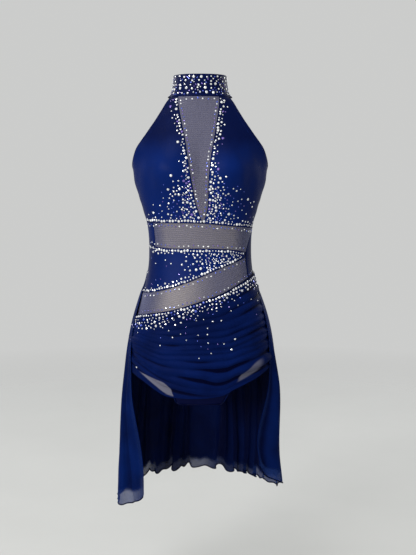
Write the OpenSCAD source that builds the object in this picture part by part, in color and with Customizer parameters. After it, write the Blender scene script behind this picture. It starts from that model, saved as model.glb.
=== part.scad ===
// Halter-neck performance leotard with mesh windows, a gathered hip drape and a back half-skirt.
// Millimetres. +Z up, the front faces -Y, the wearer's left is +X. The origin is the centre of the
// collar ring. A place on the garment is [angle, depth]: the angle runs from the front centre
// towards the wearer's left, and the depth is measured down from the middle of the collar.

/* [Collar] */
// Height of the stand-up collar
collar_h = 48; // [40:1:50]
// How far the closing tab opens the collar ring, as an angle from the front centre
tab_root = 150; // [140:1:155]
// Number of press snaps on the closing tab
snap_count = 3; // [2:1:3]

/* [Body] */
// Height of the bust above the plain body section
bust_h = 24; // [12:1:28]
// Height of the seat above the plain body section
seat_h = 10; // [4:1:14]
// Added to the length of the skirt
skirt_extra = 0; // [-150:10:60]

/* [Fabric] */
// Thickness of the stretch fabric
fabric_t = 1.2; // [0.8:0.1:1.3]
// Thickness of the lining and of the nude backing mesh
lining_t = 0.7; // [0.5:0.1:0.8]
// Width of the gap between neighbouring panels
seam_gap = 0.5; // [0.4:0.1:0.8]
// Diameter of the elastic in the leg and arm edges
elastic_d = 2.2; // [1.6:0.1:2.2]

/* [Crystals] */
// Size of the crystals, as a share of their normal size
crystal_scale = 1; // [0.7:0.05:1.1]

/* [Hidden] */

navy = [0.03, 0.12, 0.42];
navy_dark = [0.02, 0.07, 0.28];
mesh_grey = [0.42, 0.42, 0.50];
nude = [0.80, 0.72, 0.64];
clear = [0.88, 0.92, 0.97];
sapphire = [0.16, 0.20, 0.55];
metal = [0.70, 0.71, 0.73];

// Layers, as distances from the wearer's skin
lining_in = 0.2;
lining_out = lining_in + lining_t;
shell_in = 1.3;
shell_out = shell_in + fabric_t;
drape_in = 3.3;
drape_out = drape_in + fabric_t;
tape_in = 3;
tape_out = 3.8;
crystal_lift = shell_out + 0.6;
collar_crystal_lift = shell_out + 1.3;
drape_crystal_lift = drape_out + 0.6;

// Body sections: [depth, [half width, front depth, back depth]]
body = [
    [-26, [57, 55, 55]], [0, [60, 56, 56]], [22, [69, 58, 58]], [45, [108, 62, 66]],
    [70, [146, 69, 76]], [100, [167, 79, 84]], [130, [171, 87, 88]], [155, [162, 92, 90]],
    [180, [152, 94, 89]], [215, [146, 92, 86]], [260, [133, 87, 81]], [315, [118, 82, 74]],
    [375, [115, 80, 71]], [425, [120, 86, 77]], [480, [134, 94, 90]], [530, [147, 101, 103]],
    [585, [157, 104, 113]], [620, [160, 102, 117]], [660, [158, 97, 116]], [715, [150, 88, 108]]];
section_power = 2.2;

// Skirt sections, in the same form; its front edges turn in towards the hem
skirt = [
    [390, [124, 92, 80]], [430, [129, 96, 86]], [480, [144, 99, 99]], [540, [160, 94, 116]],
    [600, [171, 86, 129]], [660, [178, 76, 137]], [720, [182, 65, 142]], [800, [187, 55, 146]],
    [900, [193, 50, 150]], [1040, [196, 48, 152]]];

// Edges and seams of the bodice: [depth, angle]
v_right_edge = [[24, -45], [60, -34], [90, -26.5], [120, -20], [165, -14], [210, -10.5],
    [255, -6.5], [303, 3.5]];
v_left_edge = [[24, 40], [60, 31.5], [90, 25], [120, 19.5], [155, 14], [200, 11.5], [265, 11.5],
    [285, 9], [303, 6]];
armhole = [[24, 63], [45, 58.5], [70, 58], [100, 60.5], [120, 63.5], [140, 68], [157, 72.5],
    [172, 79], [180, 85], [188, 89.6], [196, 90.5], [215, 90.5], [330, 90.5]];

// Seams and edges that run round the body: [angle, depth]
bodice_hem = [[-92, 304], [0, 303], [45, 310], [92, 320]];
wedge_top = [[-92, 353], [-50, 360], [0, 360], [45, 363], [70, 372]];
wedge_bottom = [[-92, 468], [-60, 459], [-20, 436], [20, 410], [70, 380]];
drape_top = [[-92, 522], [-60, 508], [-30, 494], [0, 477], [30, 459], [60, 434], [92, 418]];
drape_hem = [[-92, 640], [-77, 649], [-64, 661], [-52, 680], [-43, 692], [-30, 696], [0, 697],
    [30, 690], [42, 676], [60, 657], [75, 641], [92, 632]];
leg_front_right = [[-92, 612], [-76, 628], [-64, 644], [-50, 655], [-38, 668], [-33, 692], [-30, 711]];
leg_front_left = [[29, 711], [35, 684], [43, 660], [50, 640], [58, 624], [70, 613], [92, 606]];
leg_back = [[92, 609], [110, 640], [130, 671], [150, 697], [161, 711]];
back_edge = [[90, 187], [105, 206], [130, 248], [155, 290], [180, 308]];
skirt_top = [[78, 428], [90, 424], [120, 412], [150, 403], [180, 400]];
skirt_hem = [[74, 905], [90, 928], [110, 953], [140, 945], [180, 934], [220, 940], [250, 952],
    [270, 968], [286, 966]];

// ---------------------------------------------------------------------------------- curves

function place(table, x, i = 0) = i >= len(table) - 2 || x < table[i + 1][0] ? i : place(table, x, i + 1);
function slope(table, i) =
    let (a = max(i - 1, 0), b = min(i + 1, len(table) - 1))
    (table[b][1] - table[a][1]) / (table[b][0] - table[a][0]);
// Smooth curve through the points of a table
function curve(table, x) =
    let (
        i = place(table, x),
        h = table[i + 1][0] - table[i][0],
        u = min(max((x - table[i][0]) / h, 0), 1),
        rise = table[i + 1][1] - table[i][1],
        m0 = slope(table, i) * h,
        m1 = slope(table, i + 1) * h)
    table[i][1] + rise * u * u * (3 - 2 * u) + m0 * u * (1 - u) * (1 - u) - m1 * u * u * (1 - u);
function mix(a, b, t) = a + (b - a) * t;
function smooth(t) = let (u = min(max(t, 0), 1)) u * u * (3 - 2 * u);
function hill(x, centre, width) = exp(-pow((x - centre) / width, 2));
function steps(n) = [for (k = [0 : n]) k / n];
function unit(v) = v / norm(v);

// Distance from the axis to a section's outline, at an angle from the front
function outline(s, angle) =
    let (depth = cos(angle) > 0 ? s[1] : s[2], p = section_power)
    pow(pow(abs(sin(angle)) / s[0], p) + pow(abs(cos(angle)) / depth, p), -1 / p);
function front_angle(angle) = abs(angle) > 180 ? 360 - abs(angle) : abs(angle);
function body_r(angle, depth) =
    let (a = front_angle(angle))
    outline(curve(body, depth), angle)
    + bust_h * hill(a, 36, 21) * hill(depth, 183, 50)
    + seat_h * hill(a, 145, 26) * hill(depth, 615, 62);
function turned(r, angle, depth) = [r * sin(angle), -r * cos(angle), -depth];
// Point on the body, at a distance from the skin
function on_body(at, lift) = turned(body_r(at[0], at[1]) + lift, at[0], at[1]);
// Point on the hanging skirt
function on_skirt(at, lift) = turned(outline(curve(skirt, at[1]), at[0]) + lift, at[0], at[1]);
// Outward direction of the body's surface
function outward(at) =
    let (
        across = on_body([at[0] + 1, at[1]], 0) - on_body([at[0] - 1, at[1]], 0),
        down = on_body([at[0], at[1] + 1], 0) - on_body([at[0], at[1] - 1], 0))
    unit(cross(down, across));

// ---------------------------------------------------------------------------------- builders

// Closed sheet between two grids of points
module slab(outer, inner) {
    rows = len(outer);
    cols = len(outer[0]);
    n = rows * cols;
    points = [for (grid = [outer, inner]) for (row = grid) for (p = row) p];
    function id(layer, j, i) = layer * n + j * cols + i;
    function quad(a, b, c, d) = [[a, b, c], [a, c, d]];
    faces = concat(
        [for (j = [0 : rows - 2]) for (i = [0 : cols - 2])
            each quad(id(0, j, i), id(0, j, i + 1), id(0, j + 1, i + 1), id(0, j + 1, i))],
        [for (j = [0 : rows - 2]) for (i = [0 : cols - 2])
            each quad(id(1, j, i), id(1, j + 1, i), id(1, j + 1, i + 1), id(1, j, i + 1))],
        [for (i = [0 : cols - 2])
            each quad(id(0, 0, i), id(1, 0, i), id(1, 0, i + 1), id(0, 0, i + 1))],
        [for (i = [0 : cols - 2]) each quad(id(0, rows - 1, i), id(0, rows - 1, i + 1),
            id(1, rows - 1, i + 1), id(1, rows - 1, i))],
        [for (j = [0 : rows - 2])
            each quad(id(0, j, 0), id(0, j + 1, 0), id(1, j + 1, 0), id(1, j, 0))],
        [for (j = [0 : rows - 2]) each quad(id(0, j, cols - 1), id(1, j, cols - 1),
            id(1, j + 1, cols - 1), id(0, j + 1, cols - 1))]);
    polyhedron(points, faces, convexity = 6);
}

// Sheet that lies on the body, from a grid of [angle, depth]
module body_sheet(grid, lift_in, lift_out) {
    slab(
        [for (row = grid) [for (at = row) on_body(at, lift_out)]],
        [for (row = grid) [for (at = row) on_body(at, lift_in)]]);
}

// Round cord through a list of points, open or closed in a loop
module cord(path, diameter, closed = false, sides = 6) {
    n = len(path);
    function ring(k) =
        let (
            before = closed ? path[(k + n - 1) % n] : path[max(k - 1, 0)],
            after = closed ? path[(k + 1) % n] : path[min(k + 1, n - 1)],
            along = unit(after - before),
            out = unit([path[k][0], path[k][1], 0.001]),
            side = unit(cross(along, out)),
            up = cross(side, along))
        [for (s = [0 : sides - 1]) path[k] + diameter / 2 * (cos(s * 360 / sides) * up
            + sin(s * 360 / sides) * side)];
    points = [for (k = [0 : n - 1]) each ring(k)];
    last = closed ? n - 1 : n - 2;
    walls = [for (k = [0 : last]) for (s = [0 : sides - 1])
        let (a = k * sides + s, b = k * sides + (s + 1) % sides, c = (a + sides) % (n * sides),
            d = (b + sides) % (n * sides))
        each [[a, c, d], [a, d, b]]];
    caps = closed ? [] : [[for (s = [0 : sides - 1]) s],
        [for (s = [sides - 1 : -1 : 0]) (n - 1) * sides + s]];
    polyhedron(points, concat(walls, caps), convexity = 10);
}

// Grid of a band between two edges that run round the body
function band(angles, top, bottom, rows) =
    [for (v = steps(rows)) [for (a = angles)
        [a, mix(curve(top, a) + seam_gap / 2, curve(bottom, a) - seam_gap / 2, v)]]];
function spread(from, to, n) = [for (t = steps(n)) mix(from, to, t)];

// Puts a child on the body's surface, facing out
module seat_on_body(at, lift) {
    n = outward(at);
    translate(on_body(at, 0) + lift * n)
        rotate([0, acos(n[2]), atan2(n[1], n[0])])
        children();
}

module crystal(at, size, lift) {
    d = size * crystal_scale;
    seat_on_body(at, lift) cylinder(h = d * 0.4, d1 = d, d2 = d * 0.55, $fn = 24);
}

// ---------------------------------------------------------------------------------- collar

collar_top = -collar_h / 2;
collar_bottom = collar_h / 2;
underlap_end = -178;
tab_tip = 206;
tab_rise = 3.8;
snap_angle = 193;
snap_pitch = 13;
snap_depths = [for (k = [0 : snap_count - 1]) (k - (snap_count - 1) / 2) * snap_pitch];

function ring_grid(from, to, cols, rows) =
    [for (v = steps(rows)) [for (a = spread(from, to, cols)) [a, mix(collar_top, collar_bottom, v)]]];

module collar_shell() {
    color(navy) body_sheet(ring_grid(underlap_end, tab_root, 44, 4), shell_in, shell_out);
}

module collar_lining() {
    color(navy_dark) body_sheet(ring_grid(underlap_end, tab_root, 44, 4), lining_in, lining_out);
}

// The tab leaves the ring at its root and rises over the other end
function tab_point(at, lift) =
    on_body(at, lift + tab_rise * smooth((at[0] - tab_root) / (180 - tab_root)));
module collar_tab() {
    grid = ring_grid(tab_root + 0.6, tab_tip, 12, 4);
    color(navy) slab(
        [for (row = grid) [for (at = row) tab_point(at, shell_out)]],
        [for (row = grid) [for (at = row) tab_point(at, shell_in)]]);
}

module snap_studs() {
    color(metal) for (depth = snap_depths) seat_on_body([snap_angle - 360, depth], shell_out + 0.4) {
        cylinder(h = 0.7, d = 7, $fn = 32);
        cylinder(h = 1.6, d = 2.6, $fn = 32);
    }
}

module snap_sockets() {
    color(metal) for (depth = snap_depths)
        seat_on_body([snap_angle, depth], shell_out + 1.3) difference() {
            cylinder(h = 0.9, d = 8, $fn = 32);
            translate([0, 0, -1]) cylinder(h = 3, d = 5.6, $fn = 32);
        }
}

module snap_caps() {
    color(metal) for (depth = snap_depths)
        seat_on_body([snap_angle, depth], shell_out + tab_rise + 0.6)
            cylinder(h = 1, d1 = 8, d2 = 6, $fn = 32);
}

// ---------------------------------------------------------------------------------- bodice

// side is -1 on the wearer's right and 1 on the wearer's left
function bodice_grid(side) =
    let (v_edge = side < 0 ? v_right_edge : v_left_edge)
    [for (v = steps(18)) [for (u = steps(8))
        let (
            hem_angle = side < 0 ? mix(-90.5, 3, u) : mix(6, 90.5, u),
            hem = curve(bodice_hem, hem_angle) - seam_gap / 2,
            depth = mix(collar_bottom + seam_gap, hem, v),
            inner = curve(v_edge, depth) + side * v_step,
            outer = side * curve(armhole, depth))
        [side < 0 ? mix(outer, inner, u) : mix(inner, outer, u), depth]]];

module bodice_panel(side) {
    color(navy) body_sheet(bodice_grid(side), shell_in, shell_out);
}

module bodice_lining(side) {
    color(navy_dark) body_sheet(bodice_grid(side), lining_in, lining_out);
}

v_tip_depth = 300;
module v_insert(lift_in, lift_out) {
    grid = [for (v = steps(14)) [for (u = steps(4))
        let (depth = mix(collar_bottom + seam_gap, v_tip_depth, v))
        [mix(curve(v_right_edge, depth) + v_step, curve(v_left_edge, depth) - v_step, u), depth]]];
    body_sheet(grid, lift_in, lift_out);
}

// ---------------------------------------------------------------------------------- waist

side_seam = 91;
// Angle left free on each side of a seam
seam_step = 0.3;
v_step = 0.2;
right_side_edge = -66;
left_side_edge = 67;
left_side_bend = [[0, 86], [0.25, 75], [0.5, 68], [1, 67]];

module upper_mesh(lift_in, lift_out) {
    grid = [for (v = steps(4)) [for (u = steps(14))
        let (
            right = right_side_edge + seam_step,
            left = curve(left_side_bend, v / 2) - seam_step,
            a = mix(right, left, u))
        [a, mix(curve(bodice_hem, a) + seam_gap / 2, curve(wedge_top, a) - seam_gap / 2, v)]]];
    body_sheet(grid, lift_in, lift_out);
}

module wedge_panel() {
    angles = spread(-side_seam + seam_step, left_side_edge - seam_step, 18);
    color(navy) body_sheet(band(angles, wedge_top, wedge_bottom, 5), shell_in, shell_out);
}

module lower_mesh(lift_in, lift_out) {
    angles = spread(-side_seam + seam_step, left_side_edge - seam_step, 18);
    body_sheet(band(angles, wedge_bottom, drape_top, 3), lift_in, lift_out);
}

module right_side_panel() {
    angles = spread(-side_seam + seam_step, right_side_edge - seam_step, 3);
    color(navy) body_sheet(band(angles, bodice_hem, wedge_top, 4), shell_in, shell_out);
}

// Its front edge curves in below the bodice, then runs straight down to the drape
module left_side_panel() {
    grid = [for (v = steps(10)) [for (u = steps(3))
        let (a = mix(curve(left_side_bend, v) + seam_step, side_seam - seam_step, u))
        [a, mix(curve(bodice_hem, a) + seam_gap / 2, curve(drape_top, a) - seam_gap / 2, v)]]];
    color(navy) body_sheet(grid, shell_in, shell_out);
}

// A back edge or seam is mirrored about the centre back
function about_back(table, angle) = curve(table, angle > 180 ? 360 - angle : angle);

back_angles = spread(side_seam + seam_step, 360 - side_seam - seam_step, 20);
waist_seam_drop = 22;
back_edge_drop = 2;
module back_panel() {
    grid = [for (v = steps(9)) [for (a = back_angles)
        [a, mix(about_back(back_edge, a) + back_edge_drop, waist_seam(a) - seam_gap / 2, v)]]];
    color(navy) body_sheet(grid, shell_in, shell_out);
}
function waist_seam(angle) = about_back(skirt_top, angle) + waist_seam_drop;

tape_drop = 2;
tape_w = 10;
module skirt_waist_tape() {
    grid = [for (v = [0, 1]) [for (a = back_angles) [a, about_back(skirt_top, a) + tape_drop + tape_w * v]]];
    color(navy_dark) body_sheet(grid, tape_in, tape_out);
}

// ---------------------------------------------------------------------------------- hips

crotch_depth = 711;

module brief_front() {
    right = [for (a = [-91, -84, -76, -70, -64, -57, -50, -44, -38, -35.5, -33, -31.5, -30])
        [a, curve(leg_front_right, a)]];
    middle = [for (a = [-20, -10, 0, 10, 20]) [a, crotch_depth]];
    left = [for (a = [29, 31, 33, 35, 39, 43, 46, 50, 54, 58, 64, 70, 80, 91])
        [a, curve(leg_front_left, a)]];
    edge = concat(right, middle, left);
    grid = [for (v = steps(5)) [for (p = edge) [p[0], mix(curve(drape_top, p[0]) + 1, p[1], v)]]];
    color(navy_dark) body_sheet(grid, shell_in, shell_out);
}

module brief_back() {
    side = [92, 98, 104, 110, 117, 124, 130, 137, 144, 150, 156, 161];
    edge = concat(
        [for (a = side) [a, curve(leg_back, a)]],
        [for (a = [167, 174, 180, 186, 193]) [a, crotch_depth]],
        [for (k = [len(side) - 1 : -1 : 0]) [360 - side[k], curve(leg_back, side[k])]]);
    grid = [for (v = steps(7)) [for (p = edge) [p[0], mix(waist_seam(p[0]) + seam_gap / 2, p[1], v)]]];
    color(navy_dark) body_sheet(grid, shell_in, shell_out);
}

// The gusset passes under the body from the brief's front to its back
gusset_front = -88;
gusset_back = 104;
gusset_sag = 15;
gusset_top = crotch_depth + 2;
// Share of the gusset's length left free at each end
gusset_inset = 0.02;
function gusset_half_width(t) = mix(mix(46, 37, smooth(t * 1.6)), 38, smooth(t * 2 - 1));
function gusset_point(t, u, lift) =
    [u * gusset_half_width(t), mix(gusset_front, gusset_back, t),
        -gusset_top - lift - gusset_sag * sin(180 * t)];
module gusset(lift_in, lift_out, trim) {
    along = [for (t = steps(10)) mix(gusset_inset, 1 - gusset_inset, t)];
    outer = [for (t = along) [for (u = [-1, -0.5, 0, 0.5, 1]) gusset_point(t, u * trim, lift_out)]];
    inner = [for (t = along) [for (u = [-1, -0.5, 0, 0.5, 1]) gusset_point(t, u * trim, lift_in)]];
    slab(inner, outer);
}

module hip_drape() {
    angles = spread(-side_seam, side_seam, 26);
    color(navy) body_sheet(band(angles, drape_top, drape_hem, 8), drape_in, drape_out);
}

// Elastic round one leg opening: front edge, gusset edge, back edge
module leg_elastic(side) {
    front = side < 0 ? [for (a = [-89, -76, -64, -50, -40, -34, -31]) [a, curve(leg_front_right, a)]]
        : [for (a = [89, 70, 58, 50, 43, 35, 31]) [a, curve(leg_front_left, a)]];
    lift = shell_in + elastic_d / 2 - 0.4;
    path = concat(
        [for (p = front) on_body([p[0] + side * 1.2, p[1] + 2], lift)],
        [for (t = [0.1, 0.25, 0.4, 0.55, 0.7, 0.85])
            gusset_point(t, side, 0) + [side * 2.2, 0, 0]],
        [for (a = [159, 150, 140, 130, 120, 110, 100])
            let (b = a - 1.2) on_body([side > 0 ? b : 360 - b, curve(leg_back, a) + 2.5], lift)]);
    color(navy_dark) cord(path, elastic_d, closed = true);
}

// Binding down one armhole and round to the centre back
module edge_binding(side) {
    lift = shell_in + elastic_d / 2 - 0.2;
    arm = [for (d = [27, 45, 60, 75, 90, 105, 120, 135, 148, 160, 170, 178])
        [curve(armhole, d) + 1.8, d - 1.2]];
    back = [for (a = [93, 99, 106, 115, 124, 133, 142, 151, 160, 170, 179])
        [a, curve(back_edge, a) - 0.6]];
    path = [for (p = concat(arm, back)) on_body([side > 0 ? p[0] : 360 - p[0], p[1]], lift)];
    color(navy_dark) cord(path, elastic_d);
}

// ---------------------------------------------------------------------------------- skirt

skirt_lift = 0.4;
skirt_t = 1.2;
skirt_ends = [77, 122, 238, 284];
hem_d = 2.4;
// The skirt's cloth starts this far above the waist line, over its tape
skirt_rise = 3;
function skirt_top_at(angle) = about_back(skirt_top, angle) - skirt_rise;
function skirt_hem_at(angle) = curve(skirt_hem, angle) + skirt_extra;

module skirt_panel(k, cols) {
    angles = spread(skirt_ends[k] + 0.2, skirt_ends[k + 1] - 0.2, cols);
    grid = [for (v = steps(12)) [for (a = angles)
        [a, mix(skirt_top_at(a), skirt_hem_at(a) - hem_d, v)]]];
    color(navy) slab(
        [for (row = grid) [for (at = row) on_skirt(at, skirt_lift + skirt_t)]],
        [for (row = grid) [for (at = row) on_skirt(at, skirt_lift)]]);
}

module skirt_hem_roll(k, rings) {
    angles = spread(skirt_ends[k] + 0.8, skirt_ends[k + 1] - 0.8, rings);
    path = [for (a = angles) on_skirt([a, skirt_hem_at(a) - 0.8], skirt_lift + skirt_t / 2)];
    color(navy_dark) cord(path, hem_d);
}

// ---------------------------------------------------------------------------------- crystals

collar_rows = 5;
collar_row_pitch = 9.6;
collar_row_angle = 12.5;
collar_sizes = [5.2, 3.6, 6.2, 4.2, 5.6];
function collar_row_depth(k) = (k - (collar_rows - 1) / 2) * collar_row_pitch;

module collar_crystals() {
    color(clear) for (k = [0 : collar_rows - 1])
        for (a = [-150 + (k % 2) * collar_row_angle / 2 : collar_row_angle : 144])
            crystal([a, collar_row_depth(k)], collar_sizes[k], collar_crystal_lift);
}

module tab_crystals() {
    color(clear) for (k = [0 : collar_rows - 1]) for (a = [158 + (k % 2) * 6 : collar_row_angle : 186])
        let (rise = tab_rise * smooth((a - tab_root) / (180 - tab_root)))
        crystal([a, collar_row_depth(k)], collar_sizes[k], collar_crystal_lift + rise);
}

// Two columns down one edge of the V insert
module v_crystals(side) {
    v_edge = side < 0 ? v_right_edge : v_left_edge;
    first = 33;
    pitch = 10;
    sizes = [5.2, 4];
    away = [2.6, 6.2];
    color(clear) for (k = [0 : 25]) for (column = [0, 1]) {
        depth = first + (k + column / 2) * pitch;
        crystal([curve(v_edge, depth) + side * away[column], depth], sizes[column], crystal_lift);
    }
}

module bodice_hem_crystals() {
    color(clear) for (a = [-84 : 6 : 84])
        crystal([a, curve(bodice_hem, a) - 5], abs(a) % 12 == 0 ? 5.6 : 4.4, crystal_lift);
}

// Scattered crystals that thin out upwards and outwards from the point of the V
module bodice_scatter_crystals() {
    rows = 6;
    row_pitch = 12;
    step = 8;
    color(clear) for (side = [-1, 1]) for (r = [0 : rows - 1]) for (k = [0 : rows + 1 - r]) {
        depth = 285 - r * row_pitch;
        away = 12 + (k + (r % 2) / 2) * step;
        edge = curve(side < 0 ? v_right_edge : v_left_edge, depth);
        crystal([edge + side * away, depth], r % 2 == 0 ? 4.6 : 3.6, crystal_lift);
    }
}

// Two rows under the top edge, two along the sloping edge, and a dense field towards the point
module wedge_crystals() {
    step = 6;
    inset = [5, 11.5];
    sizes = [5, 3.8];
    color(clear) {
        for (row = [0, 1]) for (a = [-86 + row * step / 2 : step : 60])
            crystal([a, curve(wedge_top, a) + inset[row]], sizes[row], crystal_lift);
        for (row = [0, 1]) for (a = [-86 + row * step / 2 : step : 30])
            crystal([a, curve(wedge_bottom, a) - inset[row]], sizes[row], crystal_lift);
        for (a = [-30 : 6.5 : 30]) crystal([a, 384 + (30 - a) * 0.2], 4.4, crystal_lift);
    }
}

// Small dark crystals on the mesh side of each seam
module mesh_edge_crystals() {
    size = 3;
    away = 5;
    edges = [[bodice_hem, away], [wedge_top, -away], [wedge_bottom, away], [drape_top, -away]];
    color(sapphire) for (edge = edges) for (a = [-58 : 7.5 : 58])
        crystal([a, curve(edge[0], a) + edge[1]], size, crystal_lift);
}

module drape_crystals() {
    color(clear) {
        for (row = [0 : 2]) for (a = [-84 + (row % 2) * 3 : 6 : 82])
            crystal([a, curve(drape_top, a) + 6 + row * 8], 5.2 - row * 0.7, drape_crystal_lift);
        for (k = [0 : 13])
            crystal([-78 + k * 12, curve(drape_top, -78 + k * 12) + 36 + 16 * (k % 3)], 4,
                drape_crystal_lift);
    }
}

// ---------------------------------------------------------------------------------- nodes

collar_shell();
collar_lining();
collar_tab();
snap_studs();
snap_sockets();
snap_caps();
bodice_panel(-1);  // right_bodice_panel
bodice_panel(1);  // left_bodice_panel
bodice_lining(-1);  // right_bodice_lining
bodice_lining(1);  // left_bodice_lining
color(mesh_grey) v_insert(shell_in, shell_out);  // v_mesh_insert
color(nude) v_insert(lining_in, lining_out);  // v_mesh_backing
color(mesh_grey) upper_mesh(shell_in, shell_out);  // upper_waist_mesh
color(nude) upper_mesh(lining_in, lining_out);  // upper_mesh_backing
wedge_panel();  // waist_wedge_panel
color(mesh_grey) lower_mesh(shell_in, shell_out);  // lower_waist_mesh
color(nude) lower_mesh(lining_in, lining_out);  // lower_mesh_backing
right_side_panel();
left_side_panel();
back_panel();
brief_front();
brief_back();
color(navy_dark) gusset(0.5, 0.5 + fabric_t, 1);  // crotch_gusset
color(nude) gusset(-0.6, 0.1, 0.92);  // gusset_lining
hip_drape();
leg_elastic(-1);  // right_leg_elastic
leg_elastic(1);  // left_leg_elastic
edge_binding(-1);  // right_edge_binding
edge_binding(1);  // left_edge_binding
skirt_waist_tape();
skirt_panel(0, 7);  // skirt_left_panel
skirt_panel(1, 16);  // skirt_back_panel
skirt_panel(2, 7);  // skirt_right_panel
skirt_hem_roll(0, 12);  // skirt_left_hem
skirt_hem_roll(1, 28);  // skirt_back_hem
skirt_hem_roll(2, 12);  // skirt_right_hem
collar_crystals();
tab_crystals();
v_crystals(-1);  // right_v_crystals
v_crystals(1);  // left_v_crystals
bodice_hem_crystals();
bodice_scatter_crystals();
wedge_crystals();
mesh_edge_crystals();
drape_crystals();
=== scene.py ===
"""Halter-neck performance leotard: its visible pieces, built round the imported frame, in metres.

A place on the garment is (angle, depth), as in the CAD source: the angle in degrees from the front
centre towards the wearer's left, the depth in millimetres down from the middle of the collar.
"""

import math

import bpy
import numpy as np
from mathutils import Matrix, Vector


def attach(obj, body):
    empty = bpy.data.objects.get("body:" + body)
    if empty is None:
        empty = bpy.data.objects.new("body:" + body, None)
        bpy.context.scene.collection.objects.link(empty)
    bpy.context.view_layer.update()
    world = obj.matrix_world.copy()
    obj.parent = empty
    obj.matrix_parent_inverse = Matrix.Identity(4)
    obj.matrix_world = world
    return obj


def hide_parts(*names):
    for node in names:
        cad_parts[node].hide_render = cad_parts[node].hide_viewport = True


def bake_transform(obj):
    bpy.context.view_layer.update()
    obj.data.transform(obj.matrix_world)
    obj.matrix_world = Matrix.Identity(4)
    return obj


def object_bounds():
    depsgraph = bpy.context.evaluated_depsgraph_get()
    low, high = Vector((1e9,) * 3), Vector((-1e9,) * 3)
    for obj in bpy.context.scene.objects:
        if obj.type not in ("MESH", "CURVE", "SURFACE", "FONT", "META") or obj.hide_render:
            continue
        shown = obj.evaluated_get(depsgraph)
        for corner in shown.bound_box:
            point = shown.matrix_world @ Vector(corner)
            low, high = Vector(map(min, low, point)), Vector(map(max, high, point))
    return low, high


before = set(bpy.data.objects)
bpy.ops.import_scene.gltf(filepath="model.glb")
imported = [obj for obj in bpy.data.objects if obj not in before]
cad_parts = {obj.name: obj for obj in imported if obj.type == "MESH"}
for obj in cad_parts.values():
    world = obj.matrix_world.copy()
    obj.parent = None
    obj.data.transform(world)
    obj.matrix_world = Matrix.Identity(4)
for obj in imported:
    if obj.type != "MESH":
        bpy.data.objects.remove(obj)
cad_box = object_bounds()

MM = 0.001

# ---- shared outlines
# These repeat the CAD source: sections as [depth, half width, front depth, back depth].

BODY = [
    (-26, 57, 55, 55), (0, 60, 56, 56), (22, 69, 58, 58), (45, 108, 62, 66),
    (70, 146, 69, 76), (100, 167, 79, 84), (130, 171, 87, 88), (155, 162, 92, 90),
    (180, 152, 94, 89), (215, 146, 92, 86), (260, 133, 87, 81), (315, 118, 82, 74),
    (375, 115, 80, 71), (425, 120, 86, 77), (480, 134, 94, 90), (530, 147, 101, 103),
    (585, 157, 104, 113), (620, 160, 102, 117), (660, 158, 97, 116), (715, 150, 88, 108)]
SKIRT = [
    (390, 124, 92, 80), (430, 129, 96, 86), (480, 144, 99, 99), (540, 160, 94, 116),
    (600, 171, 86, 129), (660, 178, 76, 137), (720, 182, 65, 142), (800, 187, 55, 146),
    (900, 193, 50, 150), (1040, 196, 48, 152)]
SECTION_POWER = 2.2
BUST_H = 24
SEAT_H = 10

V_RIGHT_EDGE = [(24, -45), (60, -34), (90, -26.5), (120, -20), (165, -14), (210, -10.5),
                (255, -6.5), (303, 3.5)]
V_LEFT_EDGE = [(24, 40), (60, 31.5), (90, 25), (120, 19.5), (155, 14), (200, 11.5), (265, 11.5),
               (285, 9), (303, 6)]
ARMHOLE = [(24, 63), (45, 58.5), (70, 58), (100, 60.5), (120, 63.5), (140, 68), (157, 72.5),
           (172, 79), (180, 85), (188, 89.6), (196, 90.5), (215, 90.5), (330, 90.5)]
BODICE_HEM = [(-92, 304), (0, 303), (45, 310), (92, 320)]
WEDGE_TOP = [(-92, 353), (-50, 360), (0, 360), (45, 363), (70, 372)]
WEDGE_BOTTOM = [(-92, 468), (-60, 459), (-20, 436), (20, 410), (70, 380)]
DRAPE_TOP = [(-92, 522), (-60, 508), (-30, 494), (0, 477), (30, 459), (60, 434), (92, 418)]
DRAPE_HEM = [(-92, 640), (-77, 649), (-64, 661), (-52, 680), (-43, 692), (-30, 696), (0, 697),
             (30, 690), (42, 676), (60, 657), (75, 641), (92, 632)]
LEG_FRONT_RIGHT = [(-92, 612), (-76, 628), (-64, 644), (-50, 655), (-38, 668), (-33, 692),
                   (-30, 711)]
LEG_FRONT_LEFT = [(29, 711), (35, 684), (43, 660), (50, 640), (58, 624), (70, 613), (92, 606)]
LEG_BACK = [(92, 609), (110, 640), (130, 671), (150, 697), (161, 711)]
BACK_EDGE = [(90, 187), (105, 206), (130, 248), (155, 290), (180, 308)]
SKIRT_TOP = [(78, 428), (90, 424), (120, 412), (150, 403), (180, 400)]
SKIRT_HEM = [(74, 905), (90, 928), (110, 953), (140, 945), (180, 934), (220, 940), (250, 952),
             (270, 968), (286, 966)]
LEFT_SIDE_BEND = [(0, 86), (0.25, 75), (0.5, 68), (1, 67)]

COLLAR_TOP, COLLAR_FOOT = -24, 24
UNDERLAP_END, TAB_ROOT, TAB_TIP, TAB_RISE = -178, 150, 206, 3.8
SIDE_SEAM = 91
RIGHT_SIDE_EDGE = -66
LEFT_SIDE_EDGE = 67
SEAM_GAP = 0.5
V_FOOT = 300

# Layers, in millimetres from the skin
LINING = (0.2, 0.9)
SHELL = (1.3, 2.5)
NET = (1.3, 1.8)
DRAPE_LIFT = 5.2
DRAPE_T = 0.8


# ---- curves and noise

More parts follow.
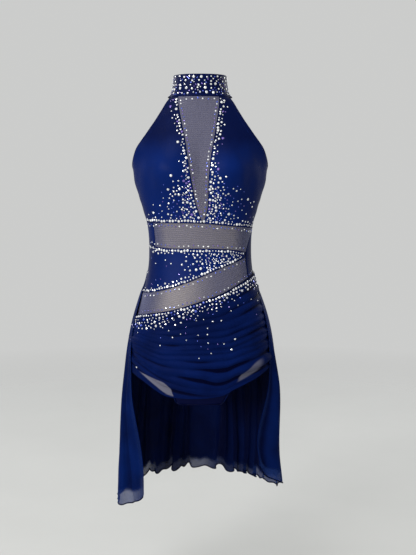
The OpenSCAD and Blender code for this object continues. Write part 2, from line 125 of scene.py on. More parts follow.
def curve(table, x):
    """Smooth curve through a table of (key, value, ...), for an array of keys."""
    rows = np.array(table, float)
    keys, values = rows[:, 0], rows[:, 1:]
    x = np.asarray(x, float)
    last = len(keys) - 1
    before = np.maximum(np.arange(last + 1) - 1, 0)
    after = np.minimum(np.arange(last + 1) + 1, last)
    slopes = (values[after] - values[before]) / (keys[after] - keys[before])[:, None]
    i = np.clip(np.searchsorted(keys, x, side="right") - 1, 0, last - 1)
    span = keys[i + 1] - keys[i]
    u = np.clip((x - keys[i]) / span, 0, 1)[..., None]
    m0, m1 = slopes[i] * span[..., None], slopes[i + 1] * span[..., None]
    rise = values[i + 1] - values[i]
    out = values[i] + rise * u * u * (3 - 2 * u) + m0 * u * (1 - u) ** 2 - m1 * u * u * (1 - u)
    return out[..., 0] if out.shape[-1] == 1 else out


def mix(a, b, t):
    return a + (b - a) * t


def smooth(t):
    t = np.clip(t, 0, 1)
    return t * t * (3 - 2 * t)


def hill(x, centre, width):
    return np.exp(-((x - centre) / width) ** 2)


def noise(x, y, seed):
    """Smooth noise from -1 to 1 with cells one unit wide."""
    size = 64
    lattice = np.random.RandomState(seed).uniform(-1, 1, (size, size))
    x, y = np.broadcast_arrays(np.asarray(x, float), np.asarray(y, float))
    xi, yi = np.floor(x).astype(int), np.floor(y).astype(int)
    u, v = smooth(x - xi), smooth(y - yi)

    def corner(i, j):
        return lattice[(xi + i) % size, (yi + j) % size]

    return mix(mix(corner(0, 0), corner(1, 0), u), mix(corner(0, 1), corner(1, 1), u), v)


def graded(n):
    """Steps from 0 to 1, finer near both ends so that a turned edge shows."""
    fine = np.array([0, 0.003, 0.007, 0.013, 0.022])
    return np.concatenate([fine, np.linspace(0.035, 0.965, n), 1 - fine[::-1]])


# ---- surfaces

def front_angle(angle):
    angle = np.abs(angle)
    return np.where(angle > 180, 360 - angle, angle)


def outline(section, angle):
    a = np.radians(angle)
    depth = np.where(np.cos(a) > 0, section[..., 1], section[..., 2])
    p = SECTION_POWER
    return (np.abs(np.sin(a) / section[..., 0]) ** p + np.abs(np.cos(a) / depth) ** p) ** (-1 / p)


def body_r(angle, depth):
    a = front_angle(angle)
    return (outline(curve(BODY, depth), angle)
            + BUST_H * hill(a, 36, 21) * hill(depth, 183, 50)
            + SEAT_H * hill(a, 145, 26) * hill(depth, 615, 62))


def turned(r, angle, depth):
    a = np.radians(angle)
    return np.stack([r * np.sin(a), -r * np.cos(a), -depth * np.ones_like(r)], -1) * MM


def on_body(angle, depth, lift):
    """Points at a distance from the skin, in metres."""
    angle, depth, lift = np.broadcast_arrays(
        np.asarray(angle, float), np.asarray(depth, float), np.asarray(lift, float))
    return turned(body_r(angle, depth) + lift, angle, depth)


def outward(angle, depth, lift=None):
    """Outward directions of the body, or of a layer whose lift is a function of the place."""
    angle, depth = np.asarray(angle, float), np.asarray(depth, float)
    lift = lift or (lambda a, d: 0 * a)

    def at(a, d):
        return on_body(a, d, lift(a, d))

    across = at(angle + 0.7, depth) - at(angle - 0.7, depth)
    down = at(angle, depth + 1) - at(angle, depth - 1)
    n = np.cross(down, across)
    return n / np.linalg.norm(n, axis=-1, keepdims=True)


def about_back(table, angle):
    return curve(table, np.where(np.asarray(angle) > 180, 360 - np.asarray(angle), angle))


# ---- mesh builders


def mesh_object(name, points, faces, material):
    mesh = bpy.data.meshes.new(name)
    mesh.from_pydata(points, [], faces)
    mesh.polygons.foreach_set("use_smooth", np.ones(len(mesh.polygons), bool))
    mesh.materials.append(material)
    made = bpy.data.objects.new(name, mesh)
    bpy.context.scene.collection.objects.link(made)
    return made


def new_piece(name, points, faces, material, nodes=(), body="root"):
    """A piece that rides on a body, in its material's slot, and stands for the CAD nodes named."""
    piece = mesh_object(name, points, faces, material)
    if body:
        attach(piece, body)
    if nodes:
        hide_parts(*nodes)
    return piece


def add_uv(piece, uv):
    layer = piece.data.uv_layers.new(name="Cloth")
    corners = np.empty(len(piece.data.loops), np.int32)
    piece.data.loops.foreach_get("vertex_index", corners)
    layer.data.foreach_set("uv", uv[corners].astype(np.float32).ravel())


def add_tone(piece, name, outer, inner=None):
    """A value for each point of a shell; its inner face takes the outer one's unless given."""
    inner = outer if inner is None else inner
    attribute = piece.data.attributes.new(name, "FLOAT", "POINT")
    attribute.data.foreach_set("value", np.concatenate([outer.ravel(), inner.ravel()]).astype(np.float32))


def grid_faces(rows, cols):
    """Faces of a closed sheet: an outer grid, an inner grid and the rim between them."""
    n = rows * cols
    o = np.arange(n).reshape(rows, cols)
    i = o + n

    def quads(*corners):
        return np.stack([c.ravel() for c in corners], -1)

    return np.concatenate([
        quads(o[:-1, :-1], o[1:, :-1], o[1:, 1:], o[:-1, 1:]),
        quads(i[:-1, :-1], i[:-1, 1:], i[1:, 1:], i[1:, :-1]),
        quads(o[0, :-1], o[0, 1:], i[0, 1:], i[0, :-1]),
        quads(o[-1, 1:], o[-1, :-1], i[-1, :-1], i[-1, 1:]),
        quads(o[:-1, 0], i[:-1, 0], i[1:, 0], o[1:, 0]),
        quads(i[:-1, -1], o[:-1, -1], o[1:, -1], i[1:, -1])])


def spans(grid):
    """Distances along the rows and the columns of a grid, from its first edges."""
    across = np.linalg.norm(np.diff(grid, axis=1), axis=-1)
    down = np.linalg.norm(np.diff(grid, axis=0), axis=-1)
    across = np.concatenate([np.zeros((grid.shape[0], 1)), np.cumsum(across, 1)], 1)
    down = np.concatenate([np.zeros((1, grid.shape[1])), np.cumsum(down, 0)], 0)
    return across, down


def edge_distance(grid):
    across, down = spans(grid)
    return np.minimum.reduce([across, across[:, -1:] - across, down, down[-1:] - down])


def worn_stretch(points):
    """How far the body opens up the knit, together with painted light and shade, from 0 to 1: most over the
    bust, the waist and the seat, with painted shade on the upper bodice, down the sides and towards the
    wearer's left.
    """
    x, y, z = np.moveaxis(points, -1, 0)
    depth = -z / MM
    angle = np.degrees(np.arctan2(x, -y))
    # Painted light from the lower bust down; painted shade above it, down the sides below the bust (more at
    # the waist) and, in the last term, towards the wearer's left.
    low_bust = smooth((depth - 95) / 85)
    side = hill(np.abs(angle), 82, 26) * smooth((depth - 150) / 60)
    waist = smooth((depth - 330) / 30)
    return 0.68 * low_bust * (1 - (0.35 + 0.3 * waist) * side) - 0.12 * smooth((angle - 10) / 50)


SHARP_EDGE = math.radians(55)
# How far in an edge turns down, and by how much of the cloth's thickness
EDGE_ROLL, EDGE_SINK = 2.2 * MM, 0.55


def shell(name, node, outer, inner, material, body="root"):
    """Closed sheet of cloth between two grids of points."""
    rows, cols = outer.shape[:2]
    points = np.concatenate([outer.reshape(-1, 3), inner.reshape(-1, 3)])
    piece = new_piece(name, points, grid_faces(rows, cols), material, (node,), body)
    piece.data.set_sharp_from_angle(angle=SHARP_EDGE)
    across, down = spans(outer)
    uv = np.stack([across - across[:, cols // 2:cols // 2 + 1], down], -1).reshape(-1, 2)
    add_uv(piece, np.concatenate([uv, uv]))
    # Painted light and shade, with how far the knit opens up, stored for the knit materials to read.
    add_tone(piece, "stretch", worn_stretch(outer))
    return piece


def body_sheet(name, node, grid, layer, material, relief=0.0, tone=None, body="root"):
    """Sheet that lies on the body, with its edges turned in; relief is added to its lift."""
    low, high = layer
    thickness = high - low
    turn = 1 - smooth(edge_distance(on_body(*grid, high)) / EDGE_ROLL)
    outer = on_body(*grid, high + relief - EDGE_SINK * thickness * turn)
    inner = on_body(*grid, high + relief - thickness)
    piece = shell(name, node, outer, inner, material, body)
    if tone is not None:
        add_tone(piece, "tone", tone)
    return piece


def band(angles, top, bottom, rows):
    """Grid of places between two edges that run round the body."""
    a = np.broadcast_to(angles, (len(rows), len(angles)))
    return a, mix(curve(top, a) + SEAM_GAP / 2, curve(bottom, a) - SEAM_GAP / 2, rows[:, None])


def directions(path, closed=False):
    """Unit directions along a path of points."""
    t = np.roll(path, -1, 0) - np.roll(path, 1, 0) if closed else np.gradient(path, axis=0)
    return t / np.linalg.norm(t, axis=1, keepdims=True)


def tube(name, path, radius, material, nodes=(), normal=None, closed=False, sides=8):
    """Round cord along a path; normal gives the side that faces out."""
    t = directions(path, closed)
    if normal is None:
        normal = path * np.array([1, 1, 0]) + 1e-6
    b = np.cross(t, normal)
    b /= np.linalg.norm(b, axis=1, keepdims=True)
    n = np.cross(b, t)
    turn = (np.arange(sides) * 2 * math.pi / sides)[None, :, None]
    ring = path[:, None] + radius * (np.cos(turn) * n[:, None] + np.sin(turn) * b[:, None])
    k = np.arange(len(path) * sides).reshape(len(path), sides)
    here, beyond = (k, np.roll(k, -1, 0)) if closed else (k[:-1], k[1:])
    walls = np.stack([here, np.roll(here, -1, 1), np.roll(beyond, -1, 1), beyond], -1).reshape(-1, 4)
    faces = [tuple(f) for f in walls]
    if not closed:
        faces += [tuple(k[0][::-1]), tuple(k[-1])]
    return new_piece(name, ring.reshape(-1, 3), faces, material, nodes)


def resample(path, step, *others):
    """Even steps along a path; the other arrays follow it."""
    run = np.concatenate([[0], np.cumsum(np.linalg.norm(np.diff(path, axis=0), axis=1))])
    at = np.arange(step / 2, run[-1], step)

    def follow(values):
        columns = np.asarray(values, float).reshape(len(run), -1).T
        followed = np.stack([np.interp(at, run, column) for column in columns], -1)
        return followed if np.ndim(values) > 1 else followed[:, 0]

    return [follow(values) for values in (path, *others)]


def soften(path, times, closed=False):
    """Evens out a path by averaging each point with its neighbours."""
    for _ in range(times):
        even = (np.roll(path, 1, 0) + 2 * path + np.roll(path, -1, 0)) / 4
        path = even if closed else np.concatenate([path[:1], even[1:-1], path[-1:]])
    return path


# ---- materials

class Finish:
    """One material, and a short way to add nodes to it."""

    def __init__(self, name, **constants):
        self.material = bpy.data.materials.new(name)
        self.material.use_nodes = True
        self.tree = self.material.node_tree
        self.shader = self.tree.nodes["Principled BSDF"]
        for key, value in constants.items():
            self.shader.inputs[key.replace("_", " ")].default_value = value

    def node(self, kind, output=0, settings=(), inputs=()):
        made = self.tree.nodes.new("ShaderNode" + kind)
        for key, value in dict(settings).items():
            setattr(made, key, value)
        for key, value in dict(inputs).items():
            self.put(made.inputs[key], value)
        return made.outputs[output]

    def put(self, socket, value):
        if isinstance(value, bpy.types.NodeSocket):
            self.tree.links.new(value, socket)
        else:
            socket.default_value = value

    def math(self, operation, a, b=0.0):
        return self.node("Math", settings={"operation": operation}, inputs={0: a, 1: b})

    def remap(self, value, low, high, start=0.0, end=1.0):
        return self.node("MapRange", inputs={0: value, 1: start, 2: end, 3: low, 4: high})

    def blend(self, factor, a, b):
        """Colour between b, by the factor, and a, which may be a socket."""
        start = a if isinstance(a, bpy.types.NodeSocket) else (*a, 1)
        return self.node("Mix", 2, {"data_type": "RGBA"}, {0: factor, 6: start, 7: (*b, 1)})

    def place(self):
        return self.node("TexCoord", "Object")

    def cloth(self):
        """Distances along and across the cloth, in metres."""
        return self.node("UVMap", settings={"uv_map": "Cloth"})

    def attribute(self, name):
        return self.node("Attribute", "Fac", {"attribute_name": name})

    def grain(self, vector, scale, detail=2.0):
        return self.node("TexNoise", inputs={"Vector": vector, "Scale": scale, "Detail": detail})

    def ripple(self, vector, pitch, bend=0.0, axis=1):
        """Waves from 0 to 1 across one direction of the cloth, wandering sideways by bend."""
        parts = self.tree.nodes.new("ShaderNodeSeparateXYZ")
        self.put(parts.inputs[0], vector)
        run = parts.outputs[axis]
        if bend:
            wander = self.grain(vector, 22.0, 1.0)
            run = self.math("ADD", run, self.math("MULTIPLY", wander, bend))
        turn = self.math("MULTIPLY", run, 2 * math.pi / pitch)
        return self.math("ADD", self.math("MULTIPLY", self.math("SINE", turn), 0.5), 0.5)

    def knit(self, pitch):
        """Height of a fine knit: wales down the cloth, with courses across them."""
        cloth = self.cloth()
        wales = self.ripple(cloth, pitch, axis=0)
        courses = self.ripple(cloth, pitch * 0.8, axis=1)
        return self.math("ADD", wales, self.math("MULTIPLY", self.math("MULTIPLY", wales, courses), 0.8))

    def bump(self, height, distance, strength=0.6):
        normal = self.node("Bump", inputs={"Strength": strength, "Distance": distance, "Height": height})
        self.put(self.shader.inputs["Normal"], normal)

    def set(self, name, value):
        self.put(self.shader.inputs[name], value)


def stretch_knit(name, dark, light, rough, sheen, pitch=0.9 * MM):
    """Satin-faced spandex knit with a fine wale: its colour opens up by a tone attribute that holds both how
    far the knit is opened up and painted light and shade.
    """
    f = Finish(name, Sheen_Weight=sheen, Sheen_Roughness=0.3, Sheen_Tint=(0.2, 0.4, 1, 1),
               Specular_IOR_Level=0.04)
    clouds = f.grain(f.place(), 16.0, 3.0)
    threads = f.grain(f.cloth(), 900.0, 1.0)
    grain = f.math("ADD", f.math("MULTIPLY", clouds, 0.7), f.math("MULTIPLY", threads, 0.3))
    # Painted light and shade, with the knit's opening-up, from the tone attribute, plus random tone from the
    # grain.
    share = f.math("ADD", f.attribute("stretch"), f.remap(grain, -0.16, 0.16, 0.3, 0.7))
    f.set("Base Color", f.blend(share, dark, light))
    f.set("Roughness", f.remap(clouds, rough - 0.06, rough + 0.08))
    f.bump(f.knit(pitch), 0.10 * MM, 0.35)
    return f.material


def open_net(name, dark, light, cover, side_cover, pitch=1.5 * MM):
    """Net over a backing: its holes let the backing show, less so where the tone attribute is high."""
    f = Finish(name, Sheen_Weight=0.05, Sheen_Roughness=0.5, Specular_IOR_Level=0.15)
    cloth = f.cloth()
    holes = f.math("MULTIPLY", f.ripple(cloth, pitch, axis=0), f.ripple(cloth, pitch, axis=1))
    lines = f.ripple(cloth, 4.6 * MM, 10 * MM, axis=1)
    f.set("Base Color", f.blend(f.grain(cloth, 300.0), dark, light))
    tone = f.attribute("tone")
    covered = f.math("ADD", f.remap(tone, cover, side_cover), f.math("MULTIPLY", lines, 0.075))
    f.set("Alpha", f.math("SUBTRACT", covered, f.math("MULTIPLY", holes, 0.16)))
    f.set("Roughness", f.remap(lines, 0.5, 0.62))
    f.bump(f.math("ADD", holes, lines), 0.12 * MM, 0.4)
    return f.material


def backing_net(name, dark, light):
    """Opaque fine power net in a skin tone."""
    f = Finish(name, Sheen_Weight=0.15, Sheen_Roughness=0.5)
    cloth = f.cloth()
    cells = f.math("MULTIPLY", f.ripple(cloth, 0.9 * MM, axis=0), f.ripple(cloth, 0.9 * MM, axis=1))
    patches = f.grain(f.place(), 24.0, 3.0)
    tint = f.math("ADD", f.math("MULTIPLY", cells, 0.4), f.math("MULTIPLY", patches, 0.6))
    f.set("Base Color", f.blend(tint, light, dark))
    f.set("Roughness", f.remap(patches, 0.62, 0.75))
    f.bump(cells, 0.1 * MM, 0.4)
    return f.material


def sheer_cloth(name, dark, light, deep, sheer_colour, alpha, sheer_alpha):
    """Layered mesh: darkest in the valleys of its folds, where the valley attribute paints shade and the
    gathered layers lie thicker; paler and clearer by the sheer attribute.
    """
    f = Finish(name, Sheen_Weight=0.01, Sheen_Roughness=0.4, Sheen_Tint=(0.2, 0.4, 1, 1),
               Specular_IOR_Level=0.02)
    cloth = f.cloth()
    clouds = f.grain(f.place(), 14.0, 3.0)
    body = f.blend(f.remap(clouds, 0, 1, 0.3, 0.7), dark, light)
    sheer = f.attribute("sheer")
    # Painted shade: the valley attribute darkens the colour towards deep.
    shade = f.blend(f.attribute("valley"), body, deep)
    f.set("Base Color", f.blend(sheer, shade, sheer_colour))
    cells = f.math("MULTIPLY", f.ripple(cloth, 0.8 * MM, axis=0), f.ripple(cloth, 0.8 * MM, axis=1))
    f.set("Alpha", f.math("SUBTRACT", f.remap(sheer, alpha, sheer_alpha), f.math("MULTIPLY", cells, 0.03)))
    f.set("Roughness", f.remap(clouds, 0.5, 0.64))
    f.bump(f.math("ADD", cells, f.math("MULTIPLY", clouds, 0.6)), 0.1 * MM, 0.4)
    return f.material


def thread(name, dark, light, rough=0.55):
    """Twisted sewing thread or covered elastic."""
    f = Finish(name, Sheen_Weight=0.0, Specular_IOR_Level=0.03)
    grain = f.grain(f.place(), 700.0, 2.0)
    f.set("Base Color", f.blend(f.remap(grain, 0, 1, 0.35, 0.65), dark, light))
    f.set("Roughness", f.remap(grain, rough - 0.08, rough + 0.1))
    f.bump(grain, 0.12 * MM, 0.5)
    return f.material


def cut_crystal(name, dark, light, metallic=0.3):
    """Foiled flat-back crystal: each facet throws back more or less light."""
    f = Finish(name, Metallic=metallic, Coat_Weight=1.0, Coat_Roughness=0.04, IOR=1.6)
    f.set("Base Color", f.blend(f.attribute("glint"), dark, light))
    f.set("Roughness", f.remap(f.grain(f.place(), 900.0), 0.08, 0.2))
    return f.material


def plated_metal(name, dark, light):
    f = Finish(name, Metallic=1.0)
    brushed = f.grain(f.place(), 1400.0, 3.0)
    f.set("Base Color", f.blend(brushed, dark, light))
    f.set("Roughness", f.remap(brushed, 0.22, 0.38))
    f.bump(brushed, 0.03 * MM, 0.3)
    return f.material


# Each knit's dark and light colours are the ends of its painted shade and painted light, as well as of its
# opening-up.
NAVY = stretch_knit("navy_spandex", (0.0003, 0.003, 0.032), (0.0012, 0.0135, 0.112), 0.42, 0.008)
BRIEF_KNIT = stretch_knit("navy_brief_knit", (0.0002, 0.0006, 0.009), (0.0005, 0.002, 0.026), 0.5, 0.005)
LINING_KNIT = stretch_knit("navy_lining", (0.0008, 0.003, 0.025), (0.0015, 0.006, 0.05), 0.66, 0.02)
WINDOW = open_net("window_mesh", (0.06, 0.065, 0.13), (0.08, 0.085, 0.16), 0.22, 0.78)
BACKING = backing_net("nude_backing", (0.32, 0.28, 0.25), (0.40, 0.355, 0.32))
# The third colour of each sheer cloth is the painted shade of its fold valleys and of the skirt's inner
# face.
DRAPE = sheer_cloth("drape_mesh", (0.0005, 0.0035, 0.032), (0.0010, 0.007, 0.060),
                    (0.0002, 0.0010, 0.014), (0.11, 0.11, 0.15), 1.0, 0.95)
SKIRT_MESH = sheer_cloth("skirt_mesh", (0.0006, 0.0045, 0.038), (0.0010, 0.009, 0.072),
                         (0.0001, 0.0006, 0.010), (0.010, 0.026, 0.115), 0.98, 0.55)
HEM_THREAD = thread("hem_thread", (0.0003, 0.001, 0.011), (0.0007, 0.003, 0.025))
STITCH = thread("topstitch_thread", (0.0015, 0.008, 0.06), (0.003, 0.016, 0.11))
ELASTIC = thread("edge_elastic", (0.0006, 0.003, 0.028), (0.0012, 0.007, 0.06), 0.5)
CLEAR = cut_crystal("clear_crystal", (0.16, 0.18, 0.24), (1.0, 1.0, 0.98), 0.25)
SAPPHIRE = cut_crystal("sapphire_crystal", (0.01, 0.02, 0.16), (0.09, 0.16, 0.85), 0.45)
VIOLET = cut_crystal("violet_crystal", (0.03, 0.015, 0.14), (0.25, 0.16, 0.62), 0.45)
METAL = plated_metal("snap_metal", (0.42, 0.43, 0.45), (0.66, 0.67, 0.69))


# ---- collar

TAB_GAP = 0.3
TAB_FOLD = 7


def collar_grid(start, end, cols, rows=26):
    angles = np.linspace(start, end, cols)[None, :]
    return np.broadcast_arrays(angles, mix(COLLAR_TOP, COLLAR_FOOT, graded(rows)[:, None]))


def tab_lift(angle):
    return TAB_RISE * smooth((angle - TAB_ROOT) / (180 - TAB_ROOT))


def crease(angle, depth):
    """Slight waviness of a padded, stoned band."""
    return 0.35 * noise(angle / 9.0, depth / 14.0, 3)


def make_collar():
    ring = collar_grid(UNDERLAP_END, TAB_ROOT, 300)
    body_sheet("collar_ring", "collar_shell", ring, SHELL, NAVY, crease(*ring))
    inside = collar_grid(UNDERLAP_END, TAB_ROOT, 160, 12)
    body_sheet("collar_inner_band", "collar_lining", inside, LINING, LINING_KNIT)
    tab = collar_grid(TAB_ROOT + TAB_GAP, TAB_TIP, 70)
    return body_sheet("collar_closing_tab", "collar_tab", tab, SHELL, NAVY,
                      tab_lift(tab[0]) + crease(*tab), body=None)


def blend_tab(piece):
    """Bakes the tab's place into its mesh; where its fold next to the collar would start and end is worked
    out but not used.
    """
    start = on_body(TAB_ROOT + TAB_GAP, 0, SHELL[1])
    end = on_body(TAB_ROOT + TAB_FOLD, 0, SHELL[1])
    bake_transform(piece)


# ---- bodice and waist

EDGE_INSET = 0.3
V_INSET = 0.2


def bodice_grid(side, cols, rows):
    u, v = graded(cols)[None, :], graded(rows)[:, None]
    hem_angle = mix(-90.5, 3, u) if side < 0 else mix(6, 90.5, u)
    depth = mix(COLLAR_FOOT + SEAM_GAP, curve(BODICE_HEM, hem_angle) - SEAM_GAP / 2, v)
    inner = curve(V_RIGHT_EDGE if side < 0 else V_LEFT_EDGE, depth) + side * V_INSET
    outer = side * curve(ARMHOLE, depth)
    return (mix(outer, inner, u) if side < 0 else mix(inner, outer, u)), depth


def bodice_tension(angle, depth):
    """Soft pulls: up from the bust to the collar, and across from the side seam."""
    a = np.abs(angle)
    pull = np.sin((a * 0.9 - depth * 0.18) / 2.6 + 1.3 * noise(a / 14, depth / 60, 5))
    side = np.sin(depth / 5.5 + 1.5 * noise(a / 12, depth / 30, 6)) * hill(a, 86, 14)
    fade = smooth((a - 28) / 18) * smooth((depth - 40) / 50)
    return 0.5 * pull * fade * (1 - smooth((depth - 215) / 50)) + 0.35 * side * smooth((depth - 190) / 40)


def make_bodice():
    for side, name in ((-1, "right"), (1, "left")):
        panel, lining = f"{name}_bodice_panel", f"{name}_bodice_lining"
        grid = bodice_grid(side, 110, 150)
        body_sheet(f"{name}_bodice_front", panel, grid, SHELL, NAVY, bodice_tension(*grid))
        grid = bodice_grid(side, 40, 60)
        body_sheet(f"{name}_bodice_inner", lining, grid, LINING, LINING_KNIT)


def v_grid(cols, rows):
    depth = mix(COLLAR_FOOT + SEAM_GAP, V_FOOT, graded(rows)[:, None])
    sides = curve(V_RIGHT_EDGE, depth) + V_INSET, curve(V_LEFT_EDGE, depth) - V_INSET
    angle = mix(*sides, graded(cols)[None, :])
    return angle, depth + 0 * angle


def upper_mesh_grid(cols, rows):
    v = graded(rows)[:, None]
    sides = RIGHT_SIDE_EDGE + EDGE_INSET, curve(LEFT_SIDE_BEND, v / 2) - EDGE_INSET
    angle = mix(*sides, graded(cols)[None, :])
    top, bottom = curve(BODICE_HEM, angle) + SEAM_GAP / 2, curve(WEDGE_TOP, angle) - SEAM_GAP / 2
    return angle, mix(top, bottom, v)


def waist_band(start, end, top, bottom, cols, rows):
    return band(mix(start + EDGE_INSET, end - EDGE_INSET, graded(cols)), top, bottom, graded(rows))


def lower_mesh_grid(cols, rows):
    return waist_band(-SIDE_SEAM, LEFT_SIDE_EDGE, WEDGE_BOTTOM, DRAPE_TOP, cols, rows)


def side_tone(angle):
    """The net looks closer where it turns away at the sides."""
    return smooth((np.abs(angle) - 34) / 46) ** 1.2


# Each window: its net, its backing, its grid, and how close its net looks at one end and how
# much closer at the other: from top to bottom of the V, from right to left of the other two
WINDOWS = [
    ("v_mesh_insert", "v_mesh_backing", v_grid, (60, 120), 0.42, -0.12),
    ("upper_waist_mesh", "upper_mesh_backing", upper_mesh_grid, (150, 50), 0.18, 0.0),
    ("lower_waist_mesh", "lower_mesh_backing", lower_mesh_grid, (150, 80), 0.0, 0.40)]


def make_windows():
    for net, backing, layout, (cols, rows), closed, change in WINDOWS:
        angle, depth = grid = layout(cols, rows)
        tug = 0.35 + 0.12 * np.sin(depth / 4.6 + 2 * noise(angle / 30, depth / 40, 8))
        run = smooth((depth - 150) / 120) if layout is v_grid else smooth((angle + 25) / 55)
        tone = np.maximum(closed + change * run, side_tone(angle))
        body_sheet(net + "_net", net, grid, NET, WINDOW, tug, tone)
        grid = layout(cols // 3, rows // 3)
        body_sheet(backing + "_net", backing, grid, LINING, BACKING)


def make_waist():
    grid = waist_band(-SIDE_SEAM, LEFT_SIDE_EDGE, WEDGE_TOP, WEDGE_BOTTOM, 150, 80)
    angle, depth = grid
    pulls = 0.22 * np.sin(angle / 3.1 + 2 * noise(angle / 20, depth / 40, 9)) * hill(angle, -80, 28)
    body_sheet("waist_wedge", "waist_wedge_panel", grid, SHELL, NAVY, pulls)

    grid = waist_band(-SIDE_SEAM, RIGHT_SIDE_EDGE, BODICE_HEM, WEDGE_TOP, 24, 40)
    body_sheet("right_waist_side", "right_side_panel", grid, SHELL, NAVY)

    u, v = graded(24)[None, :], graded(90)[:, None]
    angle = mix(curve(LEFT_SIDE_BEND, v) + EDGE_INSET, SIDE_SEAM - EDGE_INSET, u)
    top, bottom = curve(BODICE_HEM, angle) + SEAM_GAP / 2, curve(DRAPE_TOP, angle) - SEAM_GAP / 2
    grid = angle, mix(top, bottom, v)
    body_sheet("left_waist_side", "left_side_panel", grid, SHELL, NAVY)


WAIST_SEAM_DROP = 22
SIDE_LAP = 0.45
BACK_EDGE_DROP = 2
TAPE_W = 10
TAPE = (3.0, 3.8)


def back_angles(cols):
    return mix(SIDE_SEAM - SIDE_LAP, 360 - SIDE_SEAM + SIDE_LAP, graded(cols))


def make_back():
    angle = back_angles(190)[None, :]
    top = about_back(BACK_EDGE, angle) + BACK_EDGE_DROP
    bottom = about_back(SKIRT_TOP, angle) + WAIST_SEAM_DROP - SEAM_GAP / 2
    depth = mix(top, bottom, graded(110)[:, None])
    angle = angle + 0 * depth
    front = front_angle(angle)
    pulls = (0.4 * hill(front, 92, 26) * np.sin(depth / 6.0 + 2 * noise(angle / 16, depth / 40, 12))
             + 0.5 * hill(front, 180, 34) * np.sin((depth - 300) / 9.0) * smooth((depth - 330) / 30))
    body_sheet("back_body_panel", "back_panel", (angle, depth), SHELL, NAVY, pulls)

    angle = back_angles(150)[None, :]
    depth = about_back(SKIRT_TOP, angle) + BACK_EDGE_DROP + TAPE_W * graded(12)[:, None]
    angle = angle + 0 * depth
    body_sheet("skirt_waist_band", "skirt_waist_tape", (angle, depth), TAPE, ELASTIC,
               0.15 * np.sin(angle * 4.1))


# ---- hips

CROTCH_DEPTH = 711


def edge_spread(table, start, end, count):
    """Places along a leg edge, closer where the edge is steep."""
    fine = np.linspace(start, end, 400)
    run = np.concatenate([[0], np.cumsum(np.hypot(np.diff(fine) * 2.6, np.diff(curve(table, fine))))])
    angles = np.interp(np.linspace(0, run[-1], count), run, fine)
    return angles, curve(table, angles)


def brief_grid(sides, middle, top, rows):
    """Grid from a top edge to two leg edges with the straight crotch seam between them."""
    (first, first_end), (last, last_end) = sides
    angles = np.concatenate([first, middle, last])
    ends = np.concatenate([first_end, 0 * middle + CROTCH_DEPTH, last_end])
    depth = mix(top(angles), ends, graded(rows)[:, None])
    return angles + 0 * depth, depth


def make_brief():
    sides = edge_spread(LEG_FRONT_RIGHT, -91, -30, 80), edge_spread(LEG_FRONT_LEFT, 29, 91, 80)
    angle, depth = brief_grid(sides, np.linspace(-29, 28, 46), lambda a: curve(DRAPE_TOP, a) + 1, 90)
    pulls = 0.25 * np.sin(angle / 2.6 + noise(angle / 9, depth / 30, 21)) * hill(depth, 705, 26)
    body_sheet("brief_front_cloth", "brief_front", (angle, depth), SHELL, BRIEF_KNIT, pulls)

    def top(a):
        return about_back(SKIRT_TOP, a) + WAIST_SEAM_DROP + SEAM_GAP / 2

    angles, ends = edge_spread(LEG_BACK, SIDE_SEAM - SIDE_LAP, 161, 80)
    sides = (angles, ends), (360 - angles[::-1], ends[::-1])
    angle, depth = brief_grid(sides, np.linspace(163, 197, 26), top, 90)
    pulls = 0.4 * np.sin(angle / 3.4 + noise(angle / 12, depth / 40, 22)) * hill(depth, 700, 34)
    body_sheet("brief_back_cloth", "brief_back", (angle, depth), SHELL, BRIEF_KNIT, pulls)


# The gusset: where its front and back seams lie, how deep they are and how far it sags between
GUSSET_FRONT, GUSSET_BACK, GUSSET_DEPTH, GUSSET_SAG = -90.6, 110.5, 711.2, 15
GUSSET_CLOTH, GUSSET_NET = (0.2, 1.4), (-0.6, 0.1)


def gusset_half_width(t):
    return mix(mix(46, 37, smooth(t * 1.6)), 38, smooth(t * 2 - 1))


def gusset_point(t, u, drop):
    """t runs from the front seam to the back one, u from -1 at the right edge to 1 at the left."""
    t, u = np.broadcast_arrays(t, u)
    return np.stack([u * gusset_half_width(t), mix(GUSSET_FRONT, GUSSET_BACK, t),
                     -GUSSET_DEPTH - drop - GUSSET_SAG * np.sin(math.pi * t)], -1) * MM


def make_gusset():
    u = mix(-1, 1, graded(30))[None, :]
    for name, node, slot, material, (low, high), trim, inset in (
            ("crotch_gusset_cloth", "crotch_gusset", "navy_spandex", BRIEF_KNIT, GUSSET_CLOTH, 1.0, 0.0),
            ("gusset_inner_net", "gusset_lining", "nude_backing", BACKING, GUSSET_NET, 0.86, 0.12)):
        t = mix(inset, 1 - inset, graded(60))[:, None]
        below, above = gusset_point(t, u * trim, high), gusset_point(t, u * trim, low)
        piece = shell(name, node, below, above, material)


# ---- drape

# Each fold of the drape: where it crosses the wearer's right seam, the centre and the left seam,
# as a share of the way from the drape's top to its hem; then its height and width in millimetres
DRAPE_FOLDS = [
    (0.05, 0.09, 0.10, 1.0, 6), (0.10, 0.17, 0.19, 1.4, 6), (0.155, 0.235, 0.29, 1.7, 7),
    (0.21, 0.30, 0.39, 2.0, 7), (0.26, 0.355, 0.48, 2.1, 7), (0.31, 0.41, 0.55, 2.3, 7.5),
    (0.37, 0.465, 0.61, 2.4, 8), (0.43, 0.52, 0.67, 2.5, 8), (0.49, 0.585, 0.73, 2.3, 9),
    (0.54, 0.665, 0.79, 2.6, 9), (0.59, 0.79, 0.93, 2.7, 9), (0.66, 0.875, 0.985, 2.4, 8),
    (0.76, 0.945, 1.03, 1.8, 7)]
# One more, from the left seam only: its share of the way at four angles
LEFT_FOLD = [(2, 0.80), (25, 0.72), (57, 0.765), (91, 0.80)]
LEFT_FOLD_H, LEFT_FOLD_W = 0.9, 8
PUCKER_H, PUCKER_PITCH = 0.9, 9
LEAST_DRAPE_LIFT = 3.1


